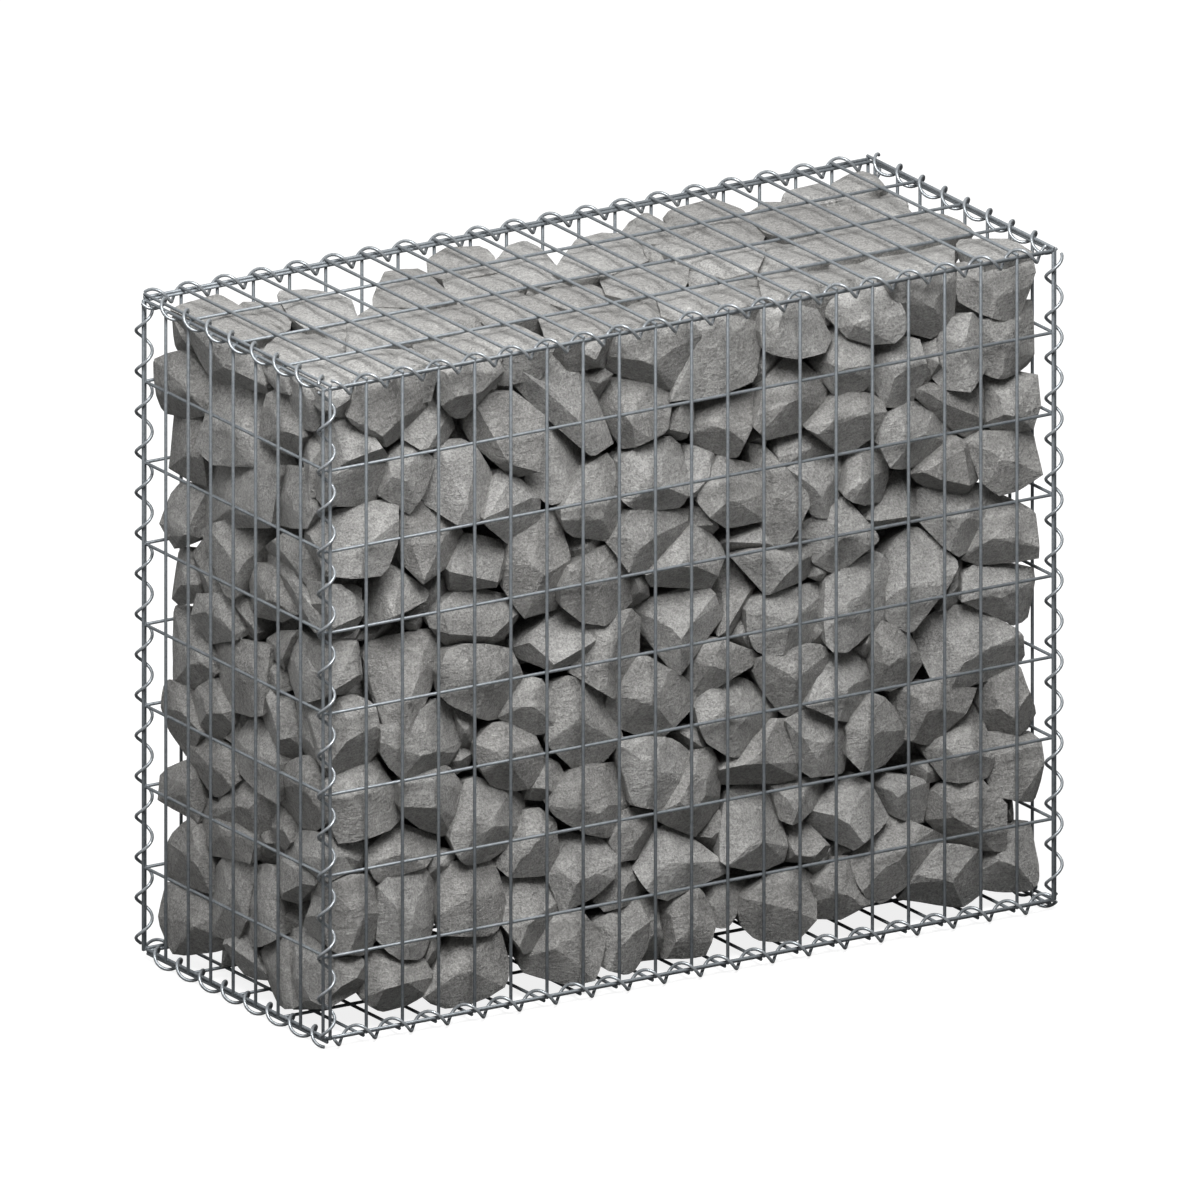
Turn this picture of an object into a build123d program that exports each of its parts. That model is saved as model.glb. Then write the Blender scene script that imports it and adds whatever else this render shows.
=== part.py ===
from build123d import *
from math import cos, pi, radians, sin, sqrt
import os

# Gabion wall: one bay of welded wire mesh, laced along its twelve edges with
# spiral wire and filled with crushed stone. Millimetres, +Z up, length along X,
# front towards -Y. The origin is on the ground under the middle of the basket.

# The basket, between the end wires of its mesh
LENGTH = 1000.0
DEPTH = 400.0
HEIGHT = 800.0
CLOSE_MESH = 50.0  # between the outer wires of a panel
LINE_MESH = 100.0  # between the inner wires, which are welded across them
WIRE = 4.0

# How the panels stand to each other
EDGE_STEP = 6.0  # from the end wire of one wall to the end wire of the next
LID_STEP = 2.5  # height of the lid's inner wires over the walls' top wires
OVERHANG = 2.0  # how far the lid's and base's outer wires run past their edge wires
SEAT = 0.3  # clearance between pieces that rest on each other

# The lacing spirals, right-handed, with one turn to each close mesh
TURN_RADIUS = 10.5  # to the middle of the spiral's wire
LACE_WIRE = 4.0
SETBACK = 3.0  # how far a spiral's ends stop short of the basket's corners
TURN_RUNS = 6  # straight runs that stand for one turn
LACE_SIDES = 3

# The stone fill
STONE_GAP = 14.0  # between the stones and the walls
STONE_TOP_GAP = 30.0  # between the stones and the lid
STONE_CHAMFER = 30.0
LIFTS = 3  # layers in which the basket is filled

RIGHT, AWAY, UP = Vector(1, 0, 0), Vector(0, 1, 0), Vector(0, 0, 1)

# A square bar with the section area of the round wire
bar = WIRE * sqrt(pi) / 2
# Planes of each wall's outer and inner wires
front_outer = DEPTH / 2 + EDGE_STEP
front_inner = front_outer - bar
end_outer = LENGTH / 2 + EDGE_STEP
end_inner = end_outer - bar
# Heights of the lid's and base's wires, over the bottom wires of the walls
lid_inner = HEIGHT + LID_STEP
lid_outer = lid_inner + bar
base_inner = -LID_STEP
base_outer = base_inner - bar
# The lid closes over the walls, and the base lies between them
lid_edge = front_outer
base_edge = front_inner - bar - SEAT
# How far wires run past the last wire that they cross
wall_over = LID_STEP - bar / 2 - SEAT
line_over = end_inner - bar / 2 - SEAT - LENGTH / 2


def spaced(span, mesh):
    """Places of the wires across a span, about one mesh apart."""
    count = max(1, round(span / mesh))
    return [span * (i / count - 0.5) for i in range(count + 1)]


def mesh_panel(width, height, close_over):
    """A welded panel in the XY plane: outer wires run along Y, and inner wires along X behind them."""
    close_wire = Box(bar, height + 2 * close_over, bar)
    line_wire = Pos(0, 0, -bar) * Box(width + 2 * line_over, bar, bar)
    wires = [Pos(x, 0, 0) * close_wire for x in spaced(width, CLOSE_MESH)]
    wires += [Pos(0, y, 0) * line_wire for y in spaced(height, LINE_MESH)]
    return wires[0].fuse(*wires[1:])


def flat(points):
    return Face(Wire.make_polygon(points, close=True))


def spiral(length, turns, angle):
    """A spiral of wire up the Z axis, as mitred straight runs. It passes this angle at each whole turn."""
    first = turns * SETBACK / length
    joints = [i / TURN_RUNS for i in range(turns * TURN_RUNS) if first < i / TURN_RUNS < turns - first]
    places = [first, *joints, turns - first]
    angles = [radians(angle) + 2 * pi * place for place in places]
    path = [
        Vector(TURN_RADIUS * cos(a), TURN_RADIUS * sin(a), length * place / turns)
        for a, place in zip(angles, places)
    ]
    ways = [(b - a).normalized() for a, b in zip(path, path[1:])]
    mitres = [(a + b).normalized() for a, b in zip(ways, ways[1:])] + [ways[-1]]
    inward = Vector(-cos(angles[0]), -sin(angles[0]), 0)
    cut = Plane(path[0], x_dir=inward, z_dir=ways[0])
    corners = [2 * pi * (k + 0.5) / LACE_SIDES for k in range(LACE_SIDES)]
    reach = LACE_WIRE / 2 / cos(pi / (2 * LACE_SIDES))
    ring = [cut.from_local_coords(Vector(reach * cos(a), reach * sin(a), 0)) for a in corners]
    faces = [flat(ring)]
    for way, joint, mitre in zip(ways, path[1:], mitres):
        ahead = [p + way * ((joint - p).dot(mitre) / way.dot(mitre)) for p in ring]
        for k in range(LACE_SIDES):
            other = (k + 1) % LACE_SIDES
            faces.append(flat([ring[k], ring[other], ahead[other], ahead[k]]))
        ring = ahead
    faces.append(flat(ring))
    return Solid(Shell(faces))


def lacing(corner, along, zero, length, angle):
    """A spiral along an edge. The angle is where its wire passes each close wire, from zero."""
    place = Plane(corner, x_dir=zero, z_dir=along)
    return place.location * spiral(length, max(1, round(length / CLOSE_MESH)), angle)


def panels():
    middle = UP * (HEIGHT / 2)
    wall = mesh_panel(LENGTH, HEIGHT, wall_over)
    end = mesh_panel(DEPTH, HEIGHT, wall_over)
    lid = mesh_panel(LENGTH, 2 * lid_edge, OVERHANG)
    base = mesh_panel(LENGTH, 2 * base_edge, OVERHANG)
    return {
        "front_panel": Plane(middle - AWAY * front_outer, x_dir=RIGHT, z_dir=-AWAY).location * wall,
        "back_panel": Plane(middle + AWAY * front_outer, x_dir=-RIGHT, z_dir=AWAY).location * wall,
        "left_end_panel": Plane(middle - RIGHT * end_outer, x_dir=-AWAY, z_dir=-RIGHT).location * end,
        "right_end_panel": Plane(middle + RIGHT * end_outer, x_dir=AWAY, z_dir=RIGHT).location * end,
        "lid_panel": Plane(UP * lid_outer, x_dir=RIGHT, z_dir=UP).location * lid,
        "base_panel": Plane(UP * base_outer, x_dir=RIGHT, z_dir=-UP).location * base,
    }


def lacings():
    """The twelve spirals. Each one's axis is midway between the two edge wires that it holds."""
    upright_x = (end_outer + LENGTH / 2) / 2
    upright_y = (front_outer + DEPTH / 2) / 2
    long_top = (lid_edge + front_inner) / 2
    long_bottom = (base_edge + front_inner) / 2
    short_x = (LENGTH / 2 + end_inner) / 2
    top_z = (HEIGHT + lid_inner) / 2
    bottom_z = base_inner / 2
    top_end_z = (HEIGHT + lid_outer) / 2
    bottom_end_z = base_outer / 2
    start_x = -RIGHT * (LENGTH / 2)
    start_y = -AWAY * (DEPTH / 2)
    spirals = {}
    for side, x, y, angle in (
        ("front_left", -1, -1, 150),
        ("front_right", 1, -1, 12),
        ("back_left", -1, 1, 140),
        ("back_right", 1, 1, 50),
    ):
        foot = RIGHT * (x * upright_x) + AWAY * (y * upright_y)
        spirals[f"{side}_spiral"] = lacing(foot, UP, RIGHT, HEIGHT, angle)
    for side, y, top_angle, bottom_angle in (("front", -1, 90, 200), ("back", 1, 60, 340)):
        top = start_x + AWAY * (y * long_top) + UP * top_z
        bottom = start_x + AWAY * (y * long_bottom) + UP * bottom_z
        spirals[f"top_{side}_spiral"] = lacing(top, RIGHT, AWAY, LENGTH, top_angle)
        spirals[f"bottom_{side}_spiral"] = lacing(bottom, RIGHT, AWAY, LENGTH, bottom_angle)
    for side, x, top_angle, bottom_angle in (("left", -1, 260, 260), ("right", 1, 80, 80)):
        top = start_y + RIGHT * (x * short_x) + UP * top_end_z
        bottom = start_y + RIGHT * (x * short_x) + UP * bottom_end_z
        spirals[f"top_{side}_spiral"] = lacing(top, AWAY, UP, DEPTH, top_angle)
        spirals[f"bottom_{side}_spiral"] = lacing(bottom, AWAY, UP, DEPTH, bottom_angle)
    return spirals


def stones():
    """The fill, in its lifts. It rests on the base's inner wires and stays off the walls."""
    wide = 2 * (end_inner - bar / 2 - STONE_GAP)
    deep = 2 * (front_inner - bar / 2 - STONE_GAP)
    foot = base_inner + bar / 2 + SEAT
    tall = lid_inner - bar / 2 - STONE_TOP_GAP - foot
    fill = Pos(0, 0, foot + tall / 2) * Box(wide, deep, tall)
    fill = chamfer(fill.edges(), STONE_CHAMFER)
    layer = Box(wide, deep, tall / LIFTS)
    return {
        f"stone_lift_{i + 1}": fill & (Pos(0, 0, foot + (i + 0.5) * tall / LIFTS) * layer)
        for i in range(LIFTS)
    }


pieces = {**panels(), **lacings(), **stones()}
# The lowest turns of the lacing rest on the ground
ground = min(piece.bounding_box().min.Z for piece in pieces.values())
os.makedirs("parts", exist_ok=True)
for name, piece in pieces.items():
    export_step(Pos(0, 0, -ground) * piece, f"parts/{name}.step")
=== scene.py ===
import math
import random
from itertools import product

import bmesh
import bpy
import numpy as np
from mathutils import Matrix, Vector, geometry, noise


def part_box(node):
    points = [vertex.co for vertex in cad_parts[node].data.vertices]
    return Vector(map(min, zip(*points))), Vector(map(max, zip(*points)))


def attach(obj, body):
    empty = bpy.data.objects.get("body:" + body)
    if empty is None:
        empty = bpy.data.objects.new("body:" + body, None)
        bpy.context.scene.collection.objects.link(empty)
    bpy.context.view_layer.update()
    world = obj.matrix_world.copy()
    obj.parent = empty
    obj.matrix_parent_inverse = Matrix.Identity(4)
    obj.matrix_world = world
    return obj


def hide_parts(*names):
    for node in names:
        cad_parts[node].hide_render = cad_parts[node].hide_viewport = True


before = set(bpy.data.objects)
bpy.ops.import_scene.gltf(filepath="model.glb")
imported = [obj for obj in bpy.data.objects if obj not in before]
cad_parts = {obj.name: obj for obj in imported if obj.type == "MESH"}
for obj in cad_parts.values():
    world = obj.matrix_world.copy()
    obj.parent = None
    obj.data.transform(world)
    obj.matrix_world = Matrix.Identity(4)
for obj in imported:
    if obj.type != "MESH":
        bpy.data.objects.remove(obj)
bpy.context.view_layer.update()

X, Y, Z = Vector((1, 0, 0)), Vector((0, 1, 0)), Vector((0, 0, 1))

# The mesh basket, in metres, from its middle to the last wires of the front and of the ends
HALF = 0.5
DEEP = 0.2
CLOSE_MESH = 0.05     # between the outer wires of a panel
LINE_MESH = 0.1       # between the inner wires, which cross them
RADIUS = 0.002        # of the wire

# Places of the wires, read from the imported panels
front_lo, front_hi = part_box("front_panel")
base_lo, base_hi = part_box("base_panel")
BAR = (front_hi.y - front_lo.y) / 2            # from outer wires to the inner ones on them
FOOT = front_lo.z + BAR / 2                    # the walls' lowest wires
TALL = front_hi.z - BAR / 2                    # the walls' top wires
FRONT = front_lo.y + BAR / 2                   # the front's upright wires
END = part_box("left_end_panel")[0].x + BAR / 2  # the left end's upright wires
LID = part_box("lid_panel")[1].z - BAR / 2       # the lid's cross wires
BASE = base_lo.z + BAR / 2                     # the base's cross wires
OVER = BAR / 2                                 # how far wires run past the last wire that they cross
LID_OVER = 0.002                               # the same for the cross wires of the lid and the base

# The lacing spirals
TURN_RADIUS = 0.0096  # to the middle of the wire
SETBACK = 0.003       # how far a spiral stops short of the basket's corners
TURN_STEPS = 20       # points in each turn

# The photograph's directions: to its right, up it, and away from the camera
RIGHT = Vector((0.84934, -0.52784, 0.0))
UP = Vector((0.16224, 0.26105, 0.95159))
SIGHT = Vector((0.50229, 0.80823, -0.30736))


def material(name, colour, rough, metal=0.0):
    mat = bpy.data.materials.new(name)
    mat.use_nodes = True
    shader = mat.node_tree.nodes["Principled BSDF"]
    shader.inputs["Base Color"].default_value = (*colour, 1)
    shader.inputs["Roughness"].default_value = rough
    shader.inputs["Metallic"].default_value = metal
    return mat, mat.node_tree, shader


def add(tree, kind, **values):
    """A new node with its inputs and settings given by name."""
    node = tree.nodes.new(kind)
    for key, value in values.items():
        if key in node.inputs:
            node.inputs[key].default_value = value
        else:
            setattr(node, key, value)
    return node


def ramp(tree, source, stops):
    """A colour for each value of the source, from places and their colours."""
    node = tree.nodes.new("ShaderNodeValToRGB")
    while len(node.color_ramp.elements) < len(stops):
        node.color_ramp.elements.new(0.5)
    for element, (place, colour) in zip(node.color_ramp.elements, stops):
        element.position = place
        element.color = (*colour, 1)
    tree.links.new(source, node.inputs["Fac"])
    return node


def stone_material():
    """Broken grey rock: fine grain, faint layers, and each stone a little lighter or darker."""
    mat, tree, shader = material("crushed_stone", (0.36, 0.355, 0.34), 0.88)
    link = tree.links.new
    coords = add(tree, "ShaderNodeTexCoord").outputs["Object"]
    own = add(tree, "ShaderNodeAttribute", attribute_name="tone").outputs["Fac"]
    broad = add(tree, "ShaderNodeTexNoise", Scale=14.0, Detail=5.0, Roughness=0.6)
    cloud = add(tree, "ShaderNodeTexNoise", Scale=70.0, Detail=6.0, Roughness=0.65, Distortion=0.8)
    pitted = add(tree, "ShaderNodeTexNoise", Scale=210.0, Detail=4.0, Roughness=0.7)
    grain = add(tree, "ShaderNodeTexNoise", Scale=430.0, Detail=4.0, Roughness=0.75)
    turn = add(tree, "ShaderNodeMapping", Rotation=(0.5, 0.7, 0.3), Scale=(38.0, 60.0, 330.0))
    streak = add(tree, "ShaderNodeTexNoise", noise_dimensions="4D", Scale=1.0, Detail=5.0, Roughness=0.62,
                 Distortion=0.5)
    for node in (broad, cloud, pitted, grain, turn):
        link(coords, node.inputs["Vector"])
    link(turn.outputs["Vector"], streak.inputs["Vector"])
    link(own, streak.inputs["W"])
    colour = ramp(tree, own, [
        (0.0, (0.315, 0.309, 0.298)),
        (0.5, (0.362, 0.357, 0.345)),
        (1.0, (0.402, 0.397, 0.386)),
    ]).outputs["Color"]
    # Each pattern's low value and how dark it is there, and its high value and how light
    layers = (
        (broad, 0.36, 0.93, 0.64, 1.04),
        (cloud, 0.38, 0.88, 0.62, 1.08),
        (pitted, 0.38, 0.84, 0.62, 1.12),
        (grain, 0.38, 0.70, 0.62, 1.27),
        (streak, 0.36, 0.92, 0.64, 1.05),
    )
    for pattern, low, dark, high, light in layers:
        layer = ramp(tree, pattern.outputs["Fac"], [(low, (dark,) * 3), (high, (light,) * 3)])
        mix = add(tree, "ShaderNodeMix", data_type="RGBA", blend_type="MULTIPLY")
        mix.inputs["Factor"].default_value = 1.0
        link(colour, mix.inputs[6])
        link(layer.outputs["Color"], mix.inputs[7])
        colour = mix.outputs[2]
    link(colour, shader.inputs["Base Color"])
    rough = ramp(tree, cloud.outputs["Fac"], [(0.3, (0.95, 0.95, 0.95)), (0.7, (0.78, 0.78, 0.78))])
    link(rough.outputs["Color"], shader.inputs["Roughness"])
    normal = None
    for pattern, strength, height in (
        (cloud, 0.8, 0.0055),
        (streak, 0.8, 0.0024),
        (pitted, 0.9, 0.0026),
        (grain, 1.0, 0.0014),
    ):
        bump = add(tree, "ShaderNodeBump", Strength=strength, Distance=height)
        link(pattern.outputs["Fac"], bump.inputs["Height"])
        if normal:
            link(normal, bump.inputs["Normal"])
        normal = bump.outputs["Normal"]
    link(normal, shader.inputs["Normal"])
    return mat


def zinc_material(name, dark, light, rough):
    """Galvanised wire: smears and spangles of darker and lighter zinc, over fine pits."""
    mat, tree, shader = material(name, light, rough, metal=0.45)
    link = tree.links.new
    coords = add(tree, "ShaderNodeTexCoord").outputs["Object"]
    spangle = add(tree, "ShaderNodeTexVoronoi", Scale=260.0)
    smear = add(tree, "ShaderNodeTexNoise", Scale=70.0, Detail=5.0, Roughness=0.65)
    pits = add(tree, "ShaderNodeTexNoise", Scale=900.0, Detail=2.0)
    for node in (spangle, smear, pits):
        link(coords, node.inputs["Vector"])
    mix = add(tree, "ShaderNodeMix", data_type="FLOAT")
    mix.inputs["Factor"].default_value = 0.35
    link(smear.outputs["Fac"], mix.inputs[2])
    link(spangle.outputs["Distance"], mix.inputs[3])
    tone = ramp(tree, mix.outputs[0], [(0.3, dark), (0.62, light)])
    link(tone.outputs["Color"], shader.inputs["Base Color"])
    spread = ramp(tree, smear.outputs["Fac"], [(0.3, (rough + 0.12,) * 3), (0.7, (rough - 0.08,) * 3)])
    link(spread.outputs["Color"], shader.inputs["Roughness"])
    bump = add(tree, "ShaderNodeBump", Strength=0.15, Distance=0.0003)
    link(pits.outputs["Fac"], bump.inputs["Height"])
    link(bump.outputs["Normal"], shader.inputs["Normal"])
    return mat


STONE = stone_material()
ZINC = zinc_material("galvanised_wire", (0.158, 0.175, 0.190), (0.235, 0.256, 0.273), 0.46)
LACE = zinc_material("lacing_wire", (0.185, 0.203, 0.217), (0.310, 0.330, 0.347), 0.30)


def placed(name, mesh, mat, stands_for):
    mesh.materials.append(mat)
    obj = bpy.data.objects.new(name, mesh)
    bpy.context.scene.collection.objects.link(obj)
    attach(obj, "root")
    if stands_for:
        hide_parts(*stands_for)


def wire_piece(name, bm, mat, slot, *stands_for):
    """The wires as one mesh, smooth but for the edges of their cut ends."""
    sharp = math.radians(50)
    mesh = bpy.data.meshes.new(name)
    bm.normal_update()
    bm.to_mesh(mesh)
    bm.free()
    for face in mesh.polygons:
        face.use_smooth = True
    mesh.set_sharp_from_angle(angle=sharp)
    placed(name, mesh, mat, stands_for)


def stone_piece(name, stones, *stands_for):
    """The stones as one mesh. Each has its own tone, and the edges between its broken faces are sharp."""
    most_planes = 1000
    triangle = 3
    places, faces, tones, planes = [], [], [], []
    for i, stone in enumerate(stones):
        base = len(places)
        tone = random.Random(name + str(i)).random()
        plane = stone.faces.layers.int["plane"]
        stone.verts.index_update()
        places += [v.co[:] for v in stone.verts]
        tones += [tone] * len(stone.verts)
        faces += [tuple(base + v.index for v in face.verts) for face in stone.faces]
        planes += [i * most_planes + face[plane] for face in stone.faces]
    mesh = bpy.data.meshes.new(name)
    mesh.from_pydata(places, [], faces)
    mesh.attributes.new("tone", "FLOAT", "POINT").data.foreach_set("value", tones)
    mesh.polygons.foreach_set("use_smooth", [True] * len(mesh.polygons))
    # An edge is sharp where the lowest and highest plane that it is part of differ
    edges = np.empty(len(mesh.loops), dtype=np.int32)
    mesh.loops.foreach_get("edge_index", edges)
    sides = np.repeat(planes, triangle)
    lowest = np.full(len(mesh.edges), most_planes * len(stones))
    highest = np.zeros(len(mesh.edges), dtype=np.int64)
    np.minimum.at(lowest, edges, sides)
    np.maximum.at(highest, edges, sides)
    mesh.attributes.new("sharp_edge", "BOOLEAN", "EDGE").data.foreach_set("value", lowest != highest)
    placed(name, mesh, STONE, stands_for)


def tube(bm, points, radius, sides=10, dome=0.35, tip=0.7):
    """A round closed tube along the points, its ends slightly domed."""
    first = (points[1] - points[0]).normalized()
    last = (points[-1] - points[-2]).normalized()
    path = [(points[0], first, tip), (points[0] + first * radius * dome, first, 1.0)]
    for before, here, after in zip(points, points[1:], points[2:]):
        path.append((here, (after - before).normalized(), 1.0))
    path += [(points[-1] - last * radius * dome, last, 1.0), (points[-1], last, tip)]
    side = first.orthogonal().normalized()
    rings = []
    for place, heading, scale in path:
        side = (side - heading * side.dot(heading)).normalized()
        other = heading.cross(side)
        ring = []
        for i in range(sides):
            t = 2 * math.pi * i / sides
            ring.append(bm.verts.new(place + (side * math.cos(t) + other * math.sin(t)) * radius * scale))
        rings.append(ring)
    for low, high in zip(rings, rings[1:]):
        for i in range(sides):
            j = (i + 1) % sides
            bm.faces.new((low[i], low[j], high[j], high[i]))
    bm.faces.new(rings[0][::-1])
    bm.faces.new(rings[-1])


def weld(bm, place, axis):
    """The small flash of metal where two crossing wires were welded, a little flat along the axis."""
    size, thin, wide = RADIUS * 1.12, 0.95, 1.05
    grown = bmesh.ops.create_icosphere(bm, subdivisions=1, radius=size)
    for vert in grown["verts"]:
        vert.co = place + Vector([c * (thin if i == axis else wide) for i, c in enumerate(vert.co)])


def spaced(span, mesh):
    """How far along a span each wire is, one mesh apart."""
    count = round(span / mesh)
    return [span * i / count for i in range(count + 1)]


def panel(name, origin, across, along, out, width, height, over):
    """Outer wires run along the panel, one to each close mesh, and inner wires run across behind them."""
    bm = bmesh.new()
    columns = spaced(width, CLOSE_MESH)
    lines = spaced(height, LINE_MESH)
    inner = -out * BAR
    for a in columns:
        start = origin + across * a - along * over
        tube(bm, [start, start + along * (height + 2 * over)], RADIUS)
    for b in lines:
        start = origin + along * b + inner - across * OVER
        tube(bm, [start, start + across * (width + 2 * OVER)], RADIUS)
    axis = [c != 0 for c in out].index(True)
    for a, b in product(columns, lines):
        weld(bm, origin + across * a + along * b + inner / 2, axis)
    wire_piece(name, bm, ZINC, "galvanised_wire", name.replace("_mesh", "_panel"))


def spiral(name, start, along, zero, length, angle):
    """A right-handed lacing spiral, with one turn to each close mesh. It starts at this angle from zero."""
    bm = bmesh.new()
    other = along.cross(zero)
    steps = round(length / CLOSE_MESH * TURN_STEPS)
    points = []
    for i in range(steps + 1):
        s = SETBACK + (length - 2 * SETBACK) * i / steps
        t = math.radians(angle) + 2 * math.pi * s / CLOSE_MESH
        points.append(start + along * s + (zero * math.cos(t) + other * math.sin(t)) * TURN_RADIUS)
    tube(bm, points, RADIUS, sides=8)
    wire_piece(name + "_lace", bm, LACE, "lacing_wire", name + "_spiral")


wall_height = TALL - FOOT
lid_edge = -FRONT
base_edge = base_hi.y - LID_OVER
panel("front_mesh", Vector((-HALF, FRONT, FOOT)), X, Z, -Y, 2 * HALF, wall_height, OVER)
panel("back_mesh", Vector((HALF, -FRONT, FOOT)), -X, Z, Y, 2 * HALF, wall_height, OVER)
panel("left_end_mesh", Vector((END, DEEP, FOOT)), -Y, Z, -X, 2 * DEEP, wall_height, OVER)
panel("right_end_mesh", Vector((-END, -DEEP, FOOT)), Y, Z, X, 2 * DEEP, wall_height, OVER)
panel("lid_mesh", Vector((-HALF, -lid_edge, LID)), X, Y, Z, 2 * HALF, 2 * lid_edge, LID_OVER)
panel("base_mesh", Vector((-HALF, base_edge, BASE)), X, -Y, -Z, 2 * HALF, 2 * base_edge, LID_OVER)

# Each spiral winds round the last wires of the two panels that it laces. The angles follow the
# photograph where the spirals show.
upright_x, upright_y = (HALF - END) / 2, (DEEP - FRONT) / 2
for name, sx, sy, angle in (
    ("front_left", -1, -1, 157),
    ("front_right", 1, -1, 12),
    ("back_left", -1, 1, 56),
    ("back_right", 1, 1, 50),
):
    spiral(name, Vector((sx * upright_x, sy * upright_y, FOOT)), Z, X, wall_height, angle)
long_top, long_low = lid_edge - BAR / 2, (base_edge + lid_edge - BAR) / 2
for name, sy, high, low in (("front", -1, 60, 152), ("back", 1, 9, 340)):
    spiral("top_" + name, Vector((-HALF, sy * long_top, (TALL + LID - BAR) / 2)), X, Y, 2 * HALF, high)
    spiral("bottom_" + name, Vector((-HALF, sy * long_low, (FOOT + BASE + BAR) / 2)), X, Y, 2 * HALF, low)
short_x = (HALF - END - BAR) / 2
for name, sx, high, low in (("left", -1, 269, 161), ("right", 1, 80, 80)):
    spiral("top_" + name, Vector((sx * short_x, -DEEP, (TALL + LID) / 2)), Y, Z, 2 * DEEP, high)
    spiral("bottom_" + name, Vector((sx * short_x, -DEEP, (FOOT + BASE) / 2)), Y, Z, 2 * DEEP, low)

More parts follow.
